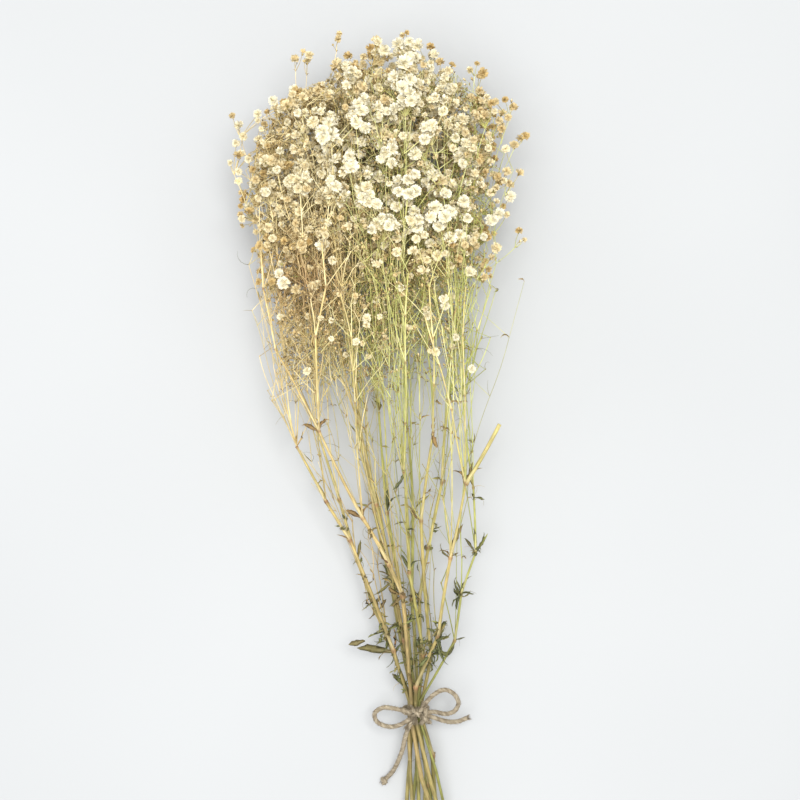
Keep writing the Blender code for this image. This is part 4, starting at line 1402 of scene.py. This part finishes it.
def twisted(growth, path, rng, fibres_each=2.2):
    """Jute plies laid round one another, with loose fibres."""
    path = np.array([tuple(p) for p in path])
    headings, side, up = frames_along(path)
    along = lengths_along(path)
    for ply in range(PLIES):
        angle = along * math.tau / PLY_PITCH + ply * math.tau / PLIES
        centre = path + PLY_OFFSET * (side * np.cos(angle)[:, None] + up * np.sin(angle)[:, None])
        patches = [noise.noise(Vector(p) * 0.3 + Vector((ply, 0, 0))) for p in centre]
        shade = [mixed(JUTE, JUTE_PALE, PLY_SHADE[ply] + 0.6 * patch) for patch in patches]
        radii = [PLY_RADIUS * (1 + 0.16 * noise.noise(Vector(p) * 0.5)) for p in centre]
        tube(growth, centre, radii, shade, 7, start=rng.uniform(0, 900), closed=True)
    for _ in range(int(along[-1] * fibres_each)):
        i = rng.randrange(len(path))
        angle = rng.uniform(0, math.tau)
        out = Vector(side[i]) * math.cos(angle) + Vector(up[i]) * math.sin(angle)
        fibre(growth, Vector(path[i]) + out * TWINE_RADIUS * 0.8, out, Vector(headings[i]), rng)


def fibre(growth, place, out, heading, rng):
    """A loose fibre that stands off the twine and bends along it."""
    way = (out + heading * rng.choice((-1, 1)) * rng.uniform(0.8, 2.5)).normalized()
    length = rng.uniform(*FIBRE_LENGTH)
    bend = Matrix.Rotation(rng.uniform(-0.5, 0.5), 3, sideways(way, rng))
    path = [place]
    for _ in range(3):
        path.append(path[-1] + way * length / 3)
        way = bend @ way
    tint = mixed(JUTE_PALE, JUTE, rng.random())
    tube(growth, path, (0.12, 0.1, 0.08, 0.04), tint, HAIR_SIDES)


# The tufts of loose fibre on the knot and under the left loop: place, way and how many fibres
TUFTS = (
    ((24, -213.5, 31.5), (-0.45, -0.85, 0.1), 80), ((26, -200, 33.5), (-0.8, 0.5, 0.2), 60),
    ((37, -199, 34), (0.7, 0.6, 0.2), 60), ((37.5, -208, 34), (0.8, -0.5, 0.1), 60),
    ((30, -209, 34), (-0.2, -1.0, 0.1), 60), ((31, -201, 35.5), (0.1, 1.0, 0.3), 60),
    ((34, -204, 36), (0.5, -0.4, 0.5), 60), ((29, -206, 35), (-0.7, -0.3, 0.4), 60),
)


def fray(growth, end, heading, count, rng):
    """The frayed end of a tail: fibres that spread from it."""
    for _ in range(count):
        side = sideways(heading, rng)
        start = end + side * rng.uniform(0, TWINE_RADIUS * 0.8) - heading * 1.0
        way = (heading + side * rng.uniform(0, 0.45)).normalized()
        length = rng.uniform(2.0, 5.0)
        path = [start, start + way * length * 0.5, start + way * length + side * rng.uniform(-0.4, 0.8)]
        tint = mixed(JUTE_PALE, JUTE, rng.random())
        tube(growth, path, (0.22, 0.18, 0.06), tint, HAIR_SIDES)


def make_cord(name, route, material, rng):
    """One loop or tail of the bow."""
    growth = Growth()
    path = smooth_path(route, TWINE_STEP)
    twisted(growth, path, rng)
    piece = growth.piece(name, material, "jute")
    return piece


def make_tie(material, rng):
    """The turns round the stems, the knot on top of them and the small end knot."""
    growth = Growth()
    steps = 40 * WRAP_TURNS
    wrap = []
    for i in range(steps + 1):
        angle = math.pi / 2 + math.tau * WRAP_TURNS * i / steps
        y = WRAP_OFFSET * (2 * i / steps - 1)
        wrap.append(TIE + Vector((math.cos(angle) * WRAP_RADIUS, y, math.sin(angle) * WRAP_RADIUS)))
    twisted(growth, wrap, rng)
    for band in KNOT_BANDS:
        twisted(growth, smooth_path(band, TWINE_STEP), rng, 5.0)
    end = Vector(LEFT_TAIL[-1])
    back = (Vector(LEFT_TAIL[-2]) - end).normalized()
    side = back.cross(Vector((0, 0, 1))).normalized()
    turn = []
    for i in range(15):
        angle = math.tau * 1.25 * i / 14
        around = side * math.cos(angle) + side.cross(back) * math.sin(angle)
        turn.append(end + back * (1.5 - i * 0.15) + around * 1.6 + Vector((0, 0, 1.2)))
    twisted(growth, turn, rng, 2.0)
    fray(growth, end + Vector((0, 0, 1.0)), -back, 26, rng)
    for place, way, count in TUFTS:
        fray(growth, Vector(place), Vector(way).normalized(), count, rng)
    tip, before = Vector(RIGHT_TAIL[-1]), Vector(RIGHT_TAIL[-2])
    fray(growth, tip, (tip - before).normalized(), 40, rng)
    piece = growth.piece("twine_wrap", material, "jute")
    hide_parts("twine_tie")


# Materials: each reads the colour that its growth carries, and adds grain, mottling and relief


def start_material(name, roughness):
    material = bpy.data.materials.new(name)
    material.use_nodes = True
    shader = material.node_tree.nodes["Principled BSDF"]
    shader.inputs["Roughness"].default_value = roughness
    return material, material.node_tree.nodes, material.node_tree.links, shader


def attribute_node(nodes, name):
    node = nodes.new("ShaderNodeAttribute")
    node.attribute_name = name
    return node


def noise_node(nodes, links, coordinates, scale, detail):
    node = nodes.new("ShaderNodeTexNoise")
    node.inputs["Scale"].default_value = scale
    node.inputs["Detail"].default_value = detail
    links.new(coordinates, node.inputs["Vector"])
    return node


def shade_by(nodes, links, colour, factor, low, high):
    """Multiplies a colour by a factor spread between low and high."""
    spread = nodes.new("ShaderNodeMapRange")
    spread.inputs["From Min"].default_value = 0.3
    spread.inputs["From Max"].default_value = 0.7
    spread.inputs["To Min"].default_value = low
    spread.inputs["To Max"].default_value = high
    links.new(factor, spread.inputs["Value"])
    scale = nodes.new("ShaderNodeVectorMath")
    scale.operation = "SCALE"
    links.new(colour, scale.inputs[0])
    links.new(spread.outputs["Result"], scale.inputs["Scale"])
    return scale.outputs["Vector"]


def grained_material(name, roughness, streak, mottle, relief):
    """A dry surface: its own colour, streaks along its grain, mottling and fine relief."""
    material, nodes, links, shader = start_material(name, roughness)
    tint = attribute_node(nodes, "tint").outputs["Color"]
    grain = attribute_node(nodes, "grain").outputs["Vector"]
    streaks = noise_node(nodes, links, grain, streak[0], 3.0)
    place = nodes.new("ShaderNodeTexCoord").outputs["Object"]
    patches = noise_node(nodes, links, place, mottle[0], 2.0)
    colour = shade_by(nodes, links, tint, streaks.outputs["Fac"], *streak[1:])
    colour = shade_by(nodes, links, colour, patches.outputs["Fac"], *mottle[1:])
    links.new(colour, shader.inputs["Base Color"])
    bump = nodes.new("ShaderNodeBump")
    bump.inputs["Strength"].default_value = relief[0]
    bump.inputs["Distance"].default_value = relief[1]
    links.new(streaks.outputs["Fac"], bump.inputs["Height"])
    links.new(bump.outputs["Normal"], shader.inputs["Normal"])
    return material


def floor_material():
    """Pale paper with a faint mottling."""
    material, nodes, links, shader = start_material("pale_floor", 0.9)
    place = nodes.new("ShaderNodeTexCoord").outputs["Object"]
    patches = noise_node(nodes, links, place, 2.0, 2.0)
    colour = nodes.new("ShaderNodeRGB")
    colour.outputs[0].default_value = FLOOR_COLOUR
    tint = shade_by(nodes, links, colour.outputs[0], patches.outputs["Fac"], 0.97, 1.03)
    links.new(tint, shader.inputs["Base Color"])
    return material


# The studio


def make_camera():
    data = bpy.data.cameras.new("camera")
    data.angle = CAMERA_ANGLE
    data.clip_start = 0.01
    camera = bpy.data.objects.new("camera", data)
    camera.location = CAMERA_PLACE * MM
    bpy.context.scene.collection.objects.link(camera)
    bpy.context.scene.camera = camera


def soft_light(name, place, size, watts, colour):
    data = bpy.data.lights.new(name, "AREA")
    data.shape = "SQUARE"
    data.size = size
    data.energy = watts
    data.color = colour
    light = bpy.data.objects.new(name, data)
    light.location = place
    light.rotation_euler = (LIT_PLACE - Vector(place)).to_track_quat("-Z", "Y").to_euler()
    bpy.context.scene.collection.objects.link(light)


def make_studio():
    for light in LIGHTS:
        soft_light(*light)
    world = bpy.data.worlds.new("room")
    world.use_nodes = True
    world.node_tree.nodes["Background"].inputs["Color"].default_value = ROOM_COLOUR
    world.node_tree.nodes["Background"].inputs["Strength"].default_value = ROOM_LIGHT
    bpy.context.scene.world = world
    bpy.context.scene.view_settings.view_transform = "Standard"
    half = FLOOR_SIZE / 2
    mesh = bpy.data.meshes.new("floor")
    mesh.from_pydata([(-half, -half, 0), (half, -half, 0), (half, half, 0), (-half, half, 0)], [],
                     [(0, 1, 2, 3)])
    mesh.materials.append(floor_material())
    floor = bpy.data.objects.new("floor", mesh)
    bpy.context.scene.collection.objects.link(floor)


def main():
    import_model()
    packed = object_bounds()
    Room.fit(packed)
    make_camera()
    jute, plant, petal = (grained_material(*surface) for surface in SURFACES)
    rng = random.Random(SEED + 1)
    for name, route, far_end in BOW:
        make_cord(name, route, jute, rng)
    make_tie(jute, rng)
    make_sprays({"plant": plant, "petal": petal})
    make_studio()


main()
